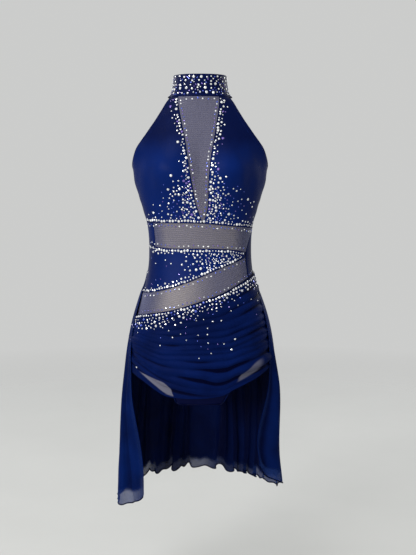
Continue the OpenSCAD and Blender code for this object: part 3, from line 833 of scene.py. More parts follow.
def drape_share(angle, depth):
    return (depth - curve(DRAPE_TOP, angle)) / (curve(DRAPE_HEM, angle) - curve(DRAPE_TOP, angle))


def pleat(x):
    """A fold's outline: a crest, then a sharper valley below it."""
    squeezed = np.where(x > 0, x * 1.7, x)
    return -squeezed * np.exp(0.5 - squeezed ** 2 / 2)


def drape_relief(angle, depth):
    """Folds of the drape, in millimetres above or below its mean."""
    angle, depth = np.broadcast_arrays(np.asarray(angle, float), np.asarray(depth, float))
    length = curve(DRAPE_HEM, angle) - curve(DRAPE_TOP, angle)
    share = drape_share(angle, depth)
    t = (angle + SIDE_SEAM) / (2 * SIDE_SEAM)
    edge = np.minimum(SIDE_SEAM + angle, SIDE_SEAM - angle)
    gather = 1 + 0.25 * np.exp(-edge / 22)
    relief = 0 * angle
    for k, (right, centre, left, height, width) in enumerate(DRAPE_FOLDS):
        line = right * (1 - t) * (1 - 2 * t) + centre * 4 * t * (1 - t) + left * t * (2 * t - 1)
        line = line + 0.013 * noise(angle / 21, k * 3.7, 31)
        varied = 1.0 + 0.75 * noise(angle / 30 + 5, k * 2.3, 32)
        strength = height * varied * gather * mix(0.95, 1.08, t)
        relief = relief + strength * pleat((share - line) * length / width)
    left_fold = pleat((share - curve(LEFT_FOLD, angle)) * length / LEFT_FOLD_W)
    relief = relief + LEFT_FOLD_H * smooth((angle + 4) / 40) * left_fold
    wave = np.sin(2 * math.pi * depth / PUCKER_PITCH + 2 * noise(angle / 20, depth / 25, 33))
    pucker = np.exp(-edge / 11) * PUCKER_H * wave
    calm = smooth(share / 0.05) * mix(1, 0.55, smooth((share - 0.94) / 0.06))
    return (relief + pucker) * calm


def drape_lift(angle, depth):
    """Height of the drape's inner face above the skin, in millimetres."""
    return np.maximum(DRAPE_LIFT + drape_relief(angle, depth), LEAST_DRAPE_LIFT)


# Height of the doubled hem below each of the two single-layer stretches that pass the brief
HEM_BAND_RIGHT = [(-92, 12), (-77, 14), (-64, 15), (-52, 12), (-44, 8), (-38, 4), (-30, 2)]
HEM_BAND_LEFT = [(30, 11), (45, 14), (60, 15), (75, 14), (92, 12)]


def drape_sheer(angle, depth):
    """1 where the drape is a single sheer layer past the brief's leg edges, else 0."""
    hem = curve(DRAPE_HEM, angle)
    right = (smooth((depth - curve(LEG_FRONT_RIGHT, angle) + 3) / 3) * (angle < -31)
             * smooth((hem - curve(HEM_BAND_RIGHT, angle) - depth) / 3) * smooth((angle + 67) / 6))
    left = (smooth((depth - curve(LEG_FRONT_LEFT, angle) + 8) / 4)
            * smooth((hem - curve(HEM_BAND_LEFT, angle) - depth) / 4)
            * smooth((angle - 41) / 5) * (1 - smooth((angle - 60) / 8)))
    return np.maximum(right, 0.68 * left)


def make_drape():
    angles = mix(-SIDE_SEAM, SIDE_SEAM, graded(330))
    angle, depth = band(angles, DRAPE_TOP, DRAPE_HEM, graded(215))
    low = drape_lift(angle, depth)
    inner = on_body(angle, depth, low)
    turn = 1 - smooth(edge_distance(inner) / EDGE_ROLL)
    outer = on_body(angle, depth, low + DRAPE_T * (1 - 0.5 * turn))
    piece = shell("hip_drape_cloth", "hip_drape", outer, inner, DRAPE)
    add_tone(piece, "sheer", drape_sheer(angle, depth))
    # Painted shade: darker in the valleys of the folds, where the gathered layers also lie thicker.
    add_tone(piece, "valley", smooth((-drape_relief(angle, depth) - 0.2) / 1.7))


# ---- bound edges

ELASTIC_D, BINDING_D = 2.2, 1.8
EDGE_STEP = 3 * MM


def leg_path(side, front_table, start, end):
    """Round one leg: up the front edge, along the gusset's side and back up behind."""
    lift = SHELL[0] + ELASTIC_D / 2 - 0.4
    front, depth = edge_spread(front_table, start, end, 60)
    front_path = on_body(front + side * 1.2, depth + 2, lift)
    under = gusset_point(np.linspace(0.1, 0.85, 40), np.full(40, float(side)), 0)
    under = under + np.array([side * ELASTIC_D, 0, 0]) * MM
    back, depth = edge_spread(LEG_BACK, 159, 100, 60)
    back = back - 1.2
    back_path = on_body(back if side > 0 else 360 - back, depth + 2.5, lift)
    path = np.concatenate([front_path, under, back_path, front_path[:1]])
    return soften(resample(path, EDGE_STEP)[0], 4, closed=True)


def binding_path(side):
    """Down the armhole and along the back's top edge to its lowest point."""
    depth = np.linspace(27, 178, 90)
    edge = curve(ARMHOLE, depth)
    back = np.linspace(93, 179.7, 90)
    angle = np.concatenate([edge + np.degrees(0.6 / body_r(edge, depth)), back])
    depth = np.concatenate([depth - 0.4, curve(BACK_EDGE, back) + 1.4])
    path = on_body(angle if side > 0 else 360 - angle, depth, (SHELL[0] + SHELL[1]) / 2)
    return soften(resample(path, EDGE_STEP)[0], 6)


def make_edges():
    for side, name, table, start, end in ((-1, "right", LEG_FRONT_RIGHT, -89, -31),
                                          (1, "left", LEG_FRONT_LEFT, 89, 31)):
        path = leg_path(side, table, start, end)
        tube(f"{name}_leg_edge", path, ELASTIC_D / 2 * MM, ELASTIC, (f"{name}_leg_elastic",),
             closed=True, sides=12)
        tube(f"{name}_bound_edge", binding_path(side), BINDING_D / 2 * MM, ELASTIC,
             (f"{name}_edge_binding",), sides=12)


# ---- skirt
# A place on the skirt is (u, v): u from the left free edge round the back to the right one,
# v from the waist to the hem.

SKIRT_LEFT_EDGE = [(390, 91), (430, 88), (455, 83), (500, 78), (600, 76.5), (700, 77), (860, 75),
                   (930, 77)]
SKIRT_RIGHT_EDGE = [(390, 269), (430, 272), (455, 277), (500, 282), (600, 284), (700, 283),
                    (860, 286), (970, 286)]
SKIRT_SEAMS = [0, 0.22, 0.78, 1]
SKIRT_FOLDS = 12.5
SKIRT_T = 0.5
HEM_ROLL_R, EDGE_ROLL_R = 1.5 * MM, 0.7 * MM
ROLL_STEP = 1.6 * MM
SEAM_LAP = 0.004
SKIRT_TOP_LIFT = 4.8
EDGE_TOP_STAND, EDGE_STAND = 3.4, 8.6
RIGHT_CORNER, LEFT_CORNER = 0.965, 0.03
FRILLS, FRILL_DEPTH, FRILL_REACH = 22, 4.2, 16
CORNER_R, CORNER_SHARE = 26, 0.012


def skirt_wave(u, v):
    """Phase of the skirt's folds, and how deep each one is."""
    wander = 0.95 * noise(u * 6 + 1.7, v * 1.1, 41) + 0.35 * noise(u * 15, v * 1.6, 45)
    phase = 2 * math.pi * (SKIRT_FOLDS * u + wander + 0.2)
    return phase, 0.8 + 0.55 * noise(u * 8 + 3, v * 0.5, 42)


def near_ends(u, share):
    """1 at the two free edges, fading over a share of the skirt's width."""
    return np.exp(-u / share) + np.exp(-(1 - u) / share)


def skirt_mid(u, v):
    """Middle of the skirt's cloth at a place."""
    u, v = np.broadcast_arrays(np.asarray(u, float), np.asarray(v, float))
    rough_depth = mix(400, 940, v)
    angle = mix(curve(SKIRT_LEFT_EDGE, rough_depth), curve(SKIRT_RIGHT_EDGE, rough_depth), u)
    top = about_back(SKIRT_TOP, angle) - 3
    hem = curve(SKIRT_HEM, angle)
    level = mix(top, hem, v)

    phase, size = skirt_wave(u, v)
    ends = smooth(u / 0.03) * smooth((1 - u) / 0.03)
    folds = (1.0 + 15 * v ** 0.85) * size * (0.15 + 0.5 * np.cos(phase) + 0.12 * np.cos(2 * phase + 1))
    folds = folds * smooth(v / 0.06) * mix(0.35, 1, ends)
    gathers = 0.7 * np.sin(2 * math.pi * 60 * u + 2 * noise(u * 30, v, 46)) * np.exp(-v / 0.05)
    sway = 0.9 * (np.sin(2 * phase) + np.sin(phase)) * v * ends

    calm = np.maximum(hill(u, 0.97, 0.035), hill(u, 0, 0.30))
    pitch = 2 * math.pi * (u * FRILLS + 1.2 * noise(u * 11, 0.5, 43))
    lobe = (9 * np.cos(phase) * size + 4.5 * np.sin(pitch + 1)) * (1 - 0.8 * calm)
    raised = 10 * hill(u, 0, 0.06) + CORNER_R * near_ends(u, CORNER_SHARE)
    depth = mix(top, hem + lobe - raised, v)
    frill = FRILL_DEPTH * np.exp(-(1 - v) * (hem - top) / FRILL_REACH) * (1 - 0.85 * calm) * np.sin(pitch)

    narrowed = 1 - 0.075 * hill(u, 0, 0.10) * smooth((v - 0.55) / 0.45)
    wide = outline(curve(SKIRT, level), angle) * narrowed
    r = mix(body_r(angle, level) + SKIRT_TOP_LIFT, wide + 1 + folds, smooth(v / 0.10))
    hug = near_ends(u, 0.05) * (1 - smooth((v - 0.22) / 0.33))
    stand = mix(EDGE_TOP_STAND, EDGE_STAND, smooth((v - 0.04) / 0.2))
    r = mix(r, body_r(angle, np.minimum(level, CROTCH_DEPTH)) + stand, hug)
    return turned(r + gathers + frill, angle + sway, depth)


def skirt_faces(u, v, sunk):
    """Outer and inner face of the skirt's cloth; sunk moves both inwards, in millimetres."""
    mid = skirt_mid(u, v)
    n = np.cross(np.gradient(mid, axis=0), np.gradient(mid, axis=1))
    n /= np.linalg.norm(n, axis=-1, keepdims=True)
    n = n * MM
    sunk = (sunk + 0 * mid[..., 0])[..., None]
    return mid + n * (SKIRT_T / 2 - sunk), mid - n * (SKIRT_T / 2 + sunk)


def skirt_sheer(u, v, outer):
    """1 where a lobe of the hem or a free edge is a single layer, fading upwards to 0."""
    run = spans(outer)[1]
    to_hem = (run[-1:] - run) / MM
    right, left = hill(u, RIGHT_CORNER, 0.03), hill(u, LEFT_CORNER, 0.03)
    reach = (17 + 30 * right + 14 * left) * (1 + 0.4 * noise(u * 45, 0 * u, 44))
    lobes = mix(0.25, 0.75, smooth(0.6 + 1.2 * noise(u * 12, 0 * u, 47)))
    lobes = np.maximum(lobes, np.maximum(hill(u, RIGHT_CORNER, 0.035), left))
    hem = (1 - smooth((to_hem - 0.7 * reach) / 13)) * lobes
    return np.maximum(hem, 0.3 * (1 - smooth(np.minimum(u, 1 - u) / 0.010))) + 0 * v


def make_skirt():
    v = np.linspace(0, 1, 190)[:, None]
    for k, (name, cols) in enumerate((("left", 130), ("back", 330), ("right", 130))):
        start, end = SKIRT_SEAMS[k:k + 2]
        lap = SEAM_LAP if name == "back" else 0.0
        u = np.linspace(start - lap, end + lap, cols)[None, :]
        under = hill(u, start, 2 * SEAM_LAP) + hill(u, end, 2 * SEAM_LAP) if lap else 0 * u
        outer, inner = skirt_faces(u + 0 * v, v + 0 * u, 0.8 * under)
        piece = shell(f"skirt_{name}_cloth", f"skirt_{name}_panel", outer, inner, SKIRT_MESH)
        add_tone(piece, "sheer", skirt_sheer(u, v, outer))
        phase, size = skirt_wave(u, v)
        # Painted shade: darker in the skirt's fold valleys, more towards the hem, and darker on its inner
        # face below the waist, where shade falls inside the skirt.
        valley = smooth(-np.cos(phase) * size) * (0.25 + 0.45 * v)
        inside = mix(0.15, 0.6 + 0.4 * valley, smooth((v - 0.18) / 0.3))
        add_tone(piece, "valley", valley, inside)

        edge = np.linspace(start + 0.0006, end - 0.0006, cols * 3)
        path = resample(skirt_mid(edge, np.ones_like(edge)), ROLL_STEP)[0]
        rolls = [tube(f"skirt_{name}_rolled_hem", path, HEM_ROLL_R, HEM_THREAD, (f"skirt_{name}_hem",))]
        if name != "back":
            down = np.linspace(0.02, 0.999, 260)
            path = resample(skirt_mid(0 * down + (name == "right"), down), ROLL_STEP)[0]
            rolls.append(tube(f"skirt_{name}_front_edge", path, EDGE_ROLL_R, SKIRT_MESH))


# ---- crystals

FACETS = 8
GIRDLE, TABLE, CROWN = 0.12, 0.54, 0.36
STONE_LIFT = SHELL[1] + 0.05
COLLAR_STONE_LIFT = SHELL[1] + 0.3
NET_STONE_LIFT = SHELL[0] + 0.95
NET_GAP = 0.8
KINDS = ["clear", "sapphire", "violet"]
MIXED_SIZES, MIXED_SHARES = [2.6, 3.4, 4.4, 6.0], [0.3, 0.35, 0.23, 0.12]
LEAST_SIZE = 2.4


def cut_template():
    """Flat-back round cut: base, girdle, crown facets and table, for a stone of radius 1."""
    turn = np.arange(FACETS) * 2 * math.pi / FACETS

    def ring(radius, height, offset=0.0):
        return np.stack([radius * np.cos(turn + offset), radius * np.sin(turn + offset),
                         height + 0 * turn], -1)

    points = np.concatenate([ring(0.93, 0), ring(1, GIRDLE), ring(TABLE, CROWN, math.pi / FACETS)])
    base = tuple(range(FACETS))[::-1]
    table = tuple(range(2 * FACETS, 3 * FACETS))
    faces = [base, table]
    for k in range(FACETS):
        n = (k + 1) % FACETS
        mid, mid_next = FACETS + k, FACETS + n
        top, top_next = 2 * FACETS + k, 2 * FACETS + n
        faces += [(k, n, mid_next, mid), (mid, mid_next, top), (mid_next, top_next, top)]
    return points, faces


class Crystals:
    """Sets stones on the garment so that no two overlap, then makes one piece per group and colour."""

    def __init__(self):
        self.taken = []
        self.groups = {}
        self.random = np.random.RandomState(7)

    def set(self, group, some, angle, depth, size, kind, lift, gap=0.5, normal_lift=None):
        """Tries a stone at each marked place, and leaves out one nearer than gap to another."""
        some, *columns = np.broadcast_arrays(*np.atleast_1d(some, angle, depth, size, kind))
        angle, depth, size, kinds = (column[some] for column in columns)
        places = on_body(angle, depth, lift(angle, depth) if callable(lift) else lift)
        normals = outward(angle, depth, normal_lift)
        for place, normal, d, colour in zip(places, normals, size, kinds):
            near = False
            if self.taken:
                taken = np.array(self.taken)
                away = np.linalg.norm(taken[:, :3] - place, axis=1)
                near = bool((away < (taken[:, 3] + d / 2 + gap) * MM).any())
            if not near:
                self.taken.append([*place, d / 2])
                self.groups.setdefault((group, str(colour)), []).append((place, normal, d))

    def directions(self, normal):
        """Random turn about the cloth's normal, and a slight tilt from it."""
        side = np.cross(normal, [0.0, 0.0, 1.0])
        side /= np.linalg.norm(side)
        spin = self.random.uniform(0, math.pi)
        tilt = self.random.uniform(-0.06, 0.06, 2)
        up = np.cross(normal, side)
        n = normal + tilt[0] * side + tilt[1] * up
        n /= np.linalg.norm(n)
        x = math.cos(spin) * side + math.sin(spin) * up
        x -= n * (x @ n)
        x /= np.linalg.norm(x)
        return np.stack([x, np.cross(n, x), n])

    def shine(self, count):
        """Brightness of each face of one stone: its table bright, one facet in three dark."""
        shine = self.random.uniform(0.3, 1.0, count)
        shine[2::3] = self.random.uniform(0.0, 0.3, FACETS)
        shine[1] = self.random.uniform(0.75, 1.0)
        return shine * self.random.uniform(0.55, 1.0)

    def make(self, group, colour, material, nodes, body):
        template, faces = cut_template()
        points, all_faces, glints = [], [], []
        for place, normal, d in self.groups.get((group, colour), []):
            first = len(points) * len(template)
            points.append(place + template * d / 2 * MM @ self.directions(normal))
            all_faces += [tuple(first + i for i in f) for f in faces]
            glints.append(self.shine(len(faces)))
        if points:
            name = f"{group}_{colour}_stones"
            piece = new_piece(name, np.concatenate(points), all_faces, material, nodes, body)
            piece.data.polygons.foreach_set("use_smooth", np.zeros(len(all_faces), bool))
            glint = piece.data.attributes.new("glint", "FLOAT", "FACE")
            glint.data.foreach_set("value", np.concatenate(glints).astype(np.float32))


def tab_stone_lift(angle, depth):
    return COLLAR_STONE_LIFT + tab_lift(angle)


def drape_stone_lift(angle, depth):
    return drape_lift(angle, depth) + DRAPE_T + 0.1


def chance(rnd, count, share):
    """Marks a random share of so many places."""
    return rnd.uniform(0, 1, count) < share


def scatter(rnd, count, low, high):
    return rnd.uniform(low[0], high[0], count), rnd.uniform(low[1], high[1], count)


def row_angles(start, end, depth_of, step, lift=STONE_LIFT):
    """Angles a step in millimetres apart along a line round the body."""
    angle = np.linspace(start, end, 600)
    path = on_body(angle, depth_of(angle), lift)
    return resample(path, step * MM, angle)[1]


def edge_row(gems, group, rnd, edge, row, wander, span, bare=0):
    """Clear stones along an edge, none nearer than bare degrees to the front centre.

    A row is how far below the edge it runs, its step, its sizes and the share of stones kept.
    """
    down, step, sizes, keep = row
    angle = row_angles(*span, lambda a: edge(a) + down, step)
    n = len(angle)
    some = chance(rnd, n, keep) & (np.abs(angle) >= bare)
    depth = edge(angle) + down + wander * rnd.uniform(-1, 1, n)
    gems.set(group, some, angle, depth, rnd.choice(sizes, n), "clear", STONE_LIFT, 0.4)


def net_row(gems, rnd, edge, down, step, span, shares, stray, sizes):
    """Small stones of all three colours on the net, next to one of its edges."""
    angle = row_angles(*span, lambda a: edge(a) + down, step)
    kinds = rnd.choice(KINDS, len(angle), p=shares)
    depth = edge(angle) + down + np.sign(down) * rnd.uniform(*stray, len(angle))
    sizes = np.where(kinds == "clear", *sizes)
    gems.set("mesh_edge", True, angle, depth, sizes, kinds, NET_STONE_LIFT, NET_GAP)


def v_row(side, away, start, end, step):
    """Places down one edge of the V, away millimetres from it on the navy side."""
    depth = np.linspace(start, end, 500)
    edge = curve(V_RIGHT_EDGE if side < 0 else V_LEFT_EDGE, depth)
    angle = edge + side * np.degrees(away / body_r(edge, depth))
    return resample(on_body(angle, depth, STONE_LIFT), step * MM, angle, depth)[1:]


def set_collar_stones(gems):
    rnd = np.random.RandomState(11)
    rows = ((-19.0, 12.6), (-10.5, 14.0), (-1.5, 13.2), (7.5, 14.0), (17.5, 12.6))
    for row, (depth, step) in enumerate(rows):
        angles = np.arange(-150, 150, step) + (row % 2) * step / 2
        n = len(angles)
        angles = angles + rnd.uniform(-2.6, 2.6, n)
        sizes = rnd.choice([3.0, 3.8, 4.6, 6.2], n, p=[0.25, 0.35, 0.25, 0.15])
        depths = depth + np.sign(-depth) * 0.6 + rnd.uniform(-1.8, 1.8, n)
        ring = np.abs(angles) < 148
        gems.set("collar", ring, angles, depths, sizes, "clear", COLLAR_STONE_LIFT, 1.0)
        angles = np.arange(161, 187, step) + (row % 2) * 5
        gems.set("tab", True, angles, depth, 4.6, "clear", tab_stone_lift, 1.0)
    angles, depths = rnd.uniform(-146, 146, 420), rnd.uniform(-20.5, 20.5, 420)
    kinds = rnd.choice(["sapphire", "violet", "clear"], 420, p=[0.5, 0.25, 0.25])
    gems.set("collar", True, angles, depths, rnd.uniform(2.1, 3.2, 420), kinds, COLLAR_STONE_LIFT, 1.3)


def set_v_stones(gems):
    """Three rows down each edge of the V, thinner outwards, and one of small stones on its net."""
    rnd = np.random.RandomState(12)
    rows = ((3.4, 7.4, (3.4, 4.2, 5.8), 1.0, 0.1), (8.6, 9.4, (2.8, 4.0, 5.0), 0.85, 0.1),
            (14.0, 15.0, (2.4, 3.4, 6.0), 0.65, 0.4))
    for side, group in ((-1, "right_v"), (1, "left_v")):
        for away, step, sizes, keep, violet in rows:
            angle, depth = v_row(side, away, 28, 292, step)
            n = len(angle)
            some = chance(rnd, n, keep)
            depth = depth + rnd.uniform(-2.2, 2.2, n)
            angle = angle + side * rnd.uniform(-0.6, 1.4, n)
            kinds = rnd.choice(["clear", "violet"], n, p=[1 - violet, violet])
            gems.set(group, some, angle, depth, rnd.choice(sizes, n), kinds, STONE_LIFT)
        angle, depth = v_row(side, -4.0, 32, 288, 8.0)
        n = len(angle)
        kinds = rnd.choice(KINDS, n, p=[0.38, 0.4, 0.22])
        angle = angle - side * rnd.uniform(0, 1.6, n)
        depth = depth + rnd.uniform(-2, 2, n)
        sizes = np.where(kinds == "clear", 3.6, 3.0)
        gems.set("mesh_edge", True, angle, depth, sizes, kinds, NET_STONE_LIFT, NET_GAP)
    angle = np.array([-29, -17.5, -6, 4, 15.5, 27]) + 2
    kinds = ["clear", "clear", "sapphire", "clear", "sapphire", "clear"]
    depth = 29 + rnd.uniform(-1, 3, 6)
    gems.set("mesh_edge", True, angle, depth, 3.6, kinds, NET_STONE_LIFT, NET_GAP)


def bodice_hem(angle):
    return curve(BODICE_HEM, angle)


def drape_top(angle):
    return curve(DRAPE_TOP, angle)


def set_bodice_stones(gems):
    """Rows along the bodice's hem, and a triangle of scattered stones beside the V's foot."""
    rnd = np.random.RandomState(13)
    for row, bare in (((-4.6, 7.0, (3.0, 4.2, 6.0), 1.0), 0), ((-10.8, 9.0, (2.8, 3.8, 4.8), 0.85), 5)):
        edge_row(gems, "bodice_hem", rnd, bodice_hem, row, -row[0] / 4, (-87, 87), bare)
    net_row(gems, rnd, bodice_hem, 6, 8.6, (-84, 84), [0.42, 0.38, 0.2], (-1.5, 3.5), (3.7, 3.0))

    for side, table in ((-1, V_RIGHT_EDGE), (1, V_LEFT_EDGE)):
        angle, depth = scatter(rnd, 4200, (0, 150), (86, 300))
        n = len(angle)
        away = (angle - side * curve(table, depth)) * np.pi / 180 * body_r(side * angle, depth)
        share = np.clip(away, 0, None) / mix(9, 62, smooth((depth - 165) / 120))
        inside = ((away > 5) & (depth < bodice_hem(side * angle) - 5)
                  & (angle < np.abs(curve(ARMHOLE, depth)) - 2.5))
        some = inside & chance(rnd, n, np.exp(-0.95 * share ** 1.5) * 0.5)
        kinds = rnd.choice(KINDS, n, p=[0.66, 0.22, 0.12])
        sizes = np.where(kinds == "clear", rnd.choice(MIXED_SIZES, n, p=MIXED_SHARES), LEAST_SIZE)
        for low, high, gap in ((0, 0.6, 0.7), (0.6, 1.2, 2.6), (1.2, 2.4, 6.0)):
            part = some & (share >= low) & (share < high)
            gems.set("scatter", part, side * angle, depth, sizes, kinds, STONE_LIFT, gap)


def set_wedge_stones(gems):
    """Rows inside both edges of the wedge, and stones between them that crowd towards its tip."""
    rnd = np.random.RandomState(14)

    def top(angle):
        return curve(WEDGE_TOP, angle)

    def bottom(angle):
        return curve(WEDGE_BOTTOM, angle)

    rows = ((top, (4.6, 7.0, (3.0, 4.2, 5.8), 1.0), (-88, 66)),
            (top, (11.5, 9.5, (2.6, 3.6, 4.6), 0.85), (-72, 60)),
            (bottom, (-4.6, 7.0, (3.0, 4.2, 5.8), 1.0), (-88, 62)),
            (bottom, (-11, 10, (2.6, 3.6, 4.6), 0.75), (-80, 50)))
    for edge, row, span in rows:
        edge_row(gems, "wedge", rnd, edge, row, row[0] / 4, span)
    angle, depth = scatter(rnd, 2600, (-84, 365), (64, 460))
    n = len(angle)
    inside = (depth > top(angle) + 9) & (depth < bottom(angle) - 8)
    some = inside & chance(rnd, n, 0.035 + 0.40 * smooth((angle + 42) / 62))
    clear = chance(rnd, n, mix(0.35, 0.84, smooth((angle + 50) / 40)))
    kinds = np.where(clear, "clear", rnd.choice(["sapphire", "violet"], n))
    sizes = np.where(clear, rnd.choice(MIXED_SIZES, n, p=MIXED_SHARES), LEAST_SIZE)
    for low, high, gap in ((8, 70, 0.6), (-22, 8, 2.8), (-90, -22, 6.0)):
        part = some & (angle >= low) & (angle < high)
        gems.set("wedge", part, angle, depth, sizes, kinds, STONE_LIFT, gap)
    for edge, down in ((top, -5.5), (bottom, 5.8)):
        net_row(gems, rnd, edge, down, 11.0, (-80, 64), [0.36, 0.4, 0.24], (-1.0, 3.0), (3.6, 2.9))


def set_drape_stones(gems):
    """A thick band under the drape's top, thinning out downwards into single stones."""
    rnd = np.random.RandomState(15)

    def put(some, sizes, kinds, gap):
        gems.set("drape", some, angle, depth, sizes, kinds, drape_stone_lift, gap, drape_stone_lift)

    rows = ((4.2, 7.4, (3.4, 4.4, 5.8), 1.0, 86), (10.6, 8.8, (2.8, 4.0, 5.0), 0.85, 80),
            (17.5, 9.6, (2.6, 3.8, 6.0), 0.85, 76), (24.5, 11.0, (2.4, 3.8, 5.6), 0.8, 30),
            (31.5, 12.5, (2.4, 3.8, 6.0), 0.75, -34))
    for down, step, sizes, keep, end in rows:
        angle = row_angles(-88, end, lambda a: drape_top(a) + down, step, DRAPE_LIFT)
        n = len(angle)
        some = chance(rnd, n, keep * mix(1, 0.85, smooth((angle - 20) / 50)))
        depth = drape_top(angle) + down + rnd.uniform(-1, 1, n) * min(3.2, down / 4)
        kinds = rnd.choice(["clear", "sapphire"], n, p=[0.84, 0.16])
        put(some, rnd.choice(sizes, n), kinds, 0.4)
    angle, depth = scatter(rnd, 2200, (-87, 422), (86, 570))
    n = len(angle)
    share = (depth - drape_top(angle)) / mix(42, 27, smooth((angle + 50) / 110))
    some = (depth > drape_top(angle) + 6) & chance(rnd, n, 0.75 * np.clip(1.1 - share, 0, 1))
    kinds = rnd.choice(KINDS, n, p=[0.62, 0.24, 0.14])
    put(some, rnd.choice([2.4, 3.0, 4.0], n), kinds, 1.5)

    angle, depth = scatter(rnd, 900, (-86, 440), (84, 640))
    n = len(angle)
    below = depth - drape_top(angle)
    inside = (below > 20) & (depth < curve(DRAPE_HEM, angle) - 20)
    some = inside & chance(rnd, n, 0.42 * np.exp(-(below - 20) / 34))
    kinds = rnd.choice(KINDS, n, p=[0.6, 0.2, 0.2])
    sizes = np.where(kinds == "clear", rnd.choice([2.6, 3.2, 4.6], n), LEAST_SIZE)
    put(some, sizes, kinds, 7.0)
    net_row(gems, rnd, drape_top, -5.5, 10.0, (-84, 84), [0.2, 0.5, 0.3], (-0.5, 3.0), (3.4, 2.9))


# Each group's CAD node and the body that it rides on
CRYSTAL_GROUPS = {
    "collar": ("collar_crystals", "root"), "tab": ("tab_crystals", "collar_tab"),
    "right_v": ("right_v_crystals", "root"), "left_v": ("left_v_crystals", "root"),
    "bodice_hem": ("bodice_hem_crystals", "root"), "scatter": ("bodice_scatter_crystals", "root"),
    "wedge": ("wedge_crystals", "root"), "mesh_edge": ("mesh_edge_crystals", "root"),
    "drape": ("drape_crystals", "root")}


def make_crystals():
    gems = Crystals()
    set_collar_stones(gems)
    set_v_stones(gems)
    set_bodice_stones(gems)
    set_wedge_stones(gems)
    set_drape_stones(gems)
    for group, (node, body) in CRYSTAL_GROUPS.items():
        main = "sapphire" if group == "mesh_edge" else "clear"
        for colour, material in zip(KINDS, (CLEAR, SAPPHIRE, VIOLET)):
            gems.make(group, colour, material, (node,) if colour == main else (), body)


# ---- sewing

STITCH_PITCH, STITCH_LENGTH, STITCH_R, STITCH_SIDES = 3.2, 2.2, 0.3, 5
# Rings of one stitch: place along it, height over the cloth in millimetres, share of its girth
STITCH_ARCH = ((-0.5, -0.22, 0.6), (-0.3, 0.1, 1.0), (0.3, 0.1, 1.0), (0.5, -0.22, 0.6))
SEAM_R, SEAM_SINK, SEAM_STEP = 0.55, 0.75, 2.5 * MM


def stitch_rods(angle, depth):
    """Points and faces of a line of machine stitches that lie on the cloth."""
    path = on_body(angle, depth, SHELL[1])
    path, angle, depth = resample(path, STITCH_PITCH * MM, angle, depth)
    along = directions(path)
    normal = outward(angle, depth)
    side = np.cross(along, normal)
    side /= np.linalg.norm(side, axis=1, keepdims=True)
    turn = (np.arange(STITCH_SIDES) * 2 * math.pi / STITCH_SIDES)[None, :, None]
    spokes = np.cos(turn) * normal[:, None] + np.sin(turn) * side[:, None]
    rings = []
    for run, rise, girth in STITCH_ARCH:
        centre = path + along * run * STITCH_LENGTH * MM + normal * rise * MM
        rings.append(centre[:, None] + spokes * STITCH_R * girth * MM)
    faces = []
    block = len(STITCH_ARCH) * STITCH_SIDES
    for first in range(0, len(path) * block, block):
        for low in range(first, first + block - STITCH_SIDES, STITCH_SIDES):
            for s in range(STITCH_SIDES):
                a, b = low + s, low + (s + 1) % STITCH_SIDES
                faces.append((a, b, b + STITCH_SIDES, a + STITCH_SIDES))
        faces.append(tuple(first + s for s in range(STITCH_SIDES))[::-1])
        faces.append(tuple(first + block - STITCH_SIDES + s for s in range(STITCH_SIDES)))
    return np.stack(rings, 1).reshape(-1, 3), faces


def stitch_piece(name, lines):
    points, faces = np.empty((0, 3)), []
    for angle, depth in lines:
        more, more_faces = stitch_rods(angle, depth)
        faces += [tuple(i + len(points) for i in face) for face in more_faces]
        points = np.concatenate([points, more])
    new_piece(name, points, faces, STITCH)


def mirrored(angle, depth):
    return [(angle, depth), (360 - angle, depth)]


def make_stitches():
    ring = np.linspace(-176, 149, 700)
    stitch_piece("collar_topstitch", [(ring, 0 * ring + COLLAR_TOP + 2), (ring, 0 * ring + COLLAR_FOOT - 2)])

    depth = np.linspace(30, 180, 300)
    arm = curve(ARMHOLE, depth) - 3.4
    back = np.linspace(93, 179.5, 400)
    hem = np.linspace(-89, 89, 700)
    stitch_piece("bodice_topstitch", [(arm, depth), (-arm, depth), (hem, bodice_hem(hem) - 1.6)]
                 + mirrored(back, curve(BACK_EDGE, back) + 4.6))

    wedge = np.linspace(-89, 66, 600)
    drop = np.linspace(325, 500, 300)
    seam = np.linspace(92, 268, 700)
    stitch_piece("waist_topstitch", [
        (wedge, curve(WEDGE_TOP, wedge) + 1.6), (wedge, curve(WEDGE_BOTTOM, wedge) - 1.6),
        (seam, about_back(SKIRT_TOP, seam) + WAIST_SEAM_DROP + 2.4),
        (0 * drop + SIDE_SEAM + 2, drop), (0 * drop - SIDE_SEAM - 2, drop)])
    leg, leg_depth = edge_spread(LEG_BACK, 94, 160, 400)
    stitch_piece("leg_topstitch", mirrored(leg + 1.2, leg_depth - 5))


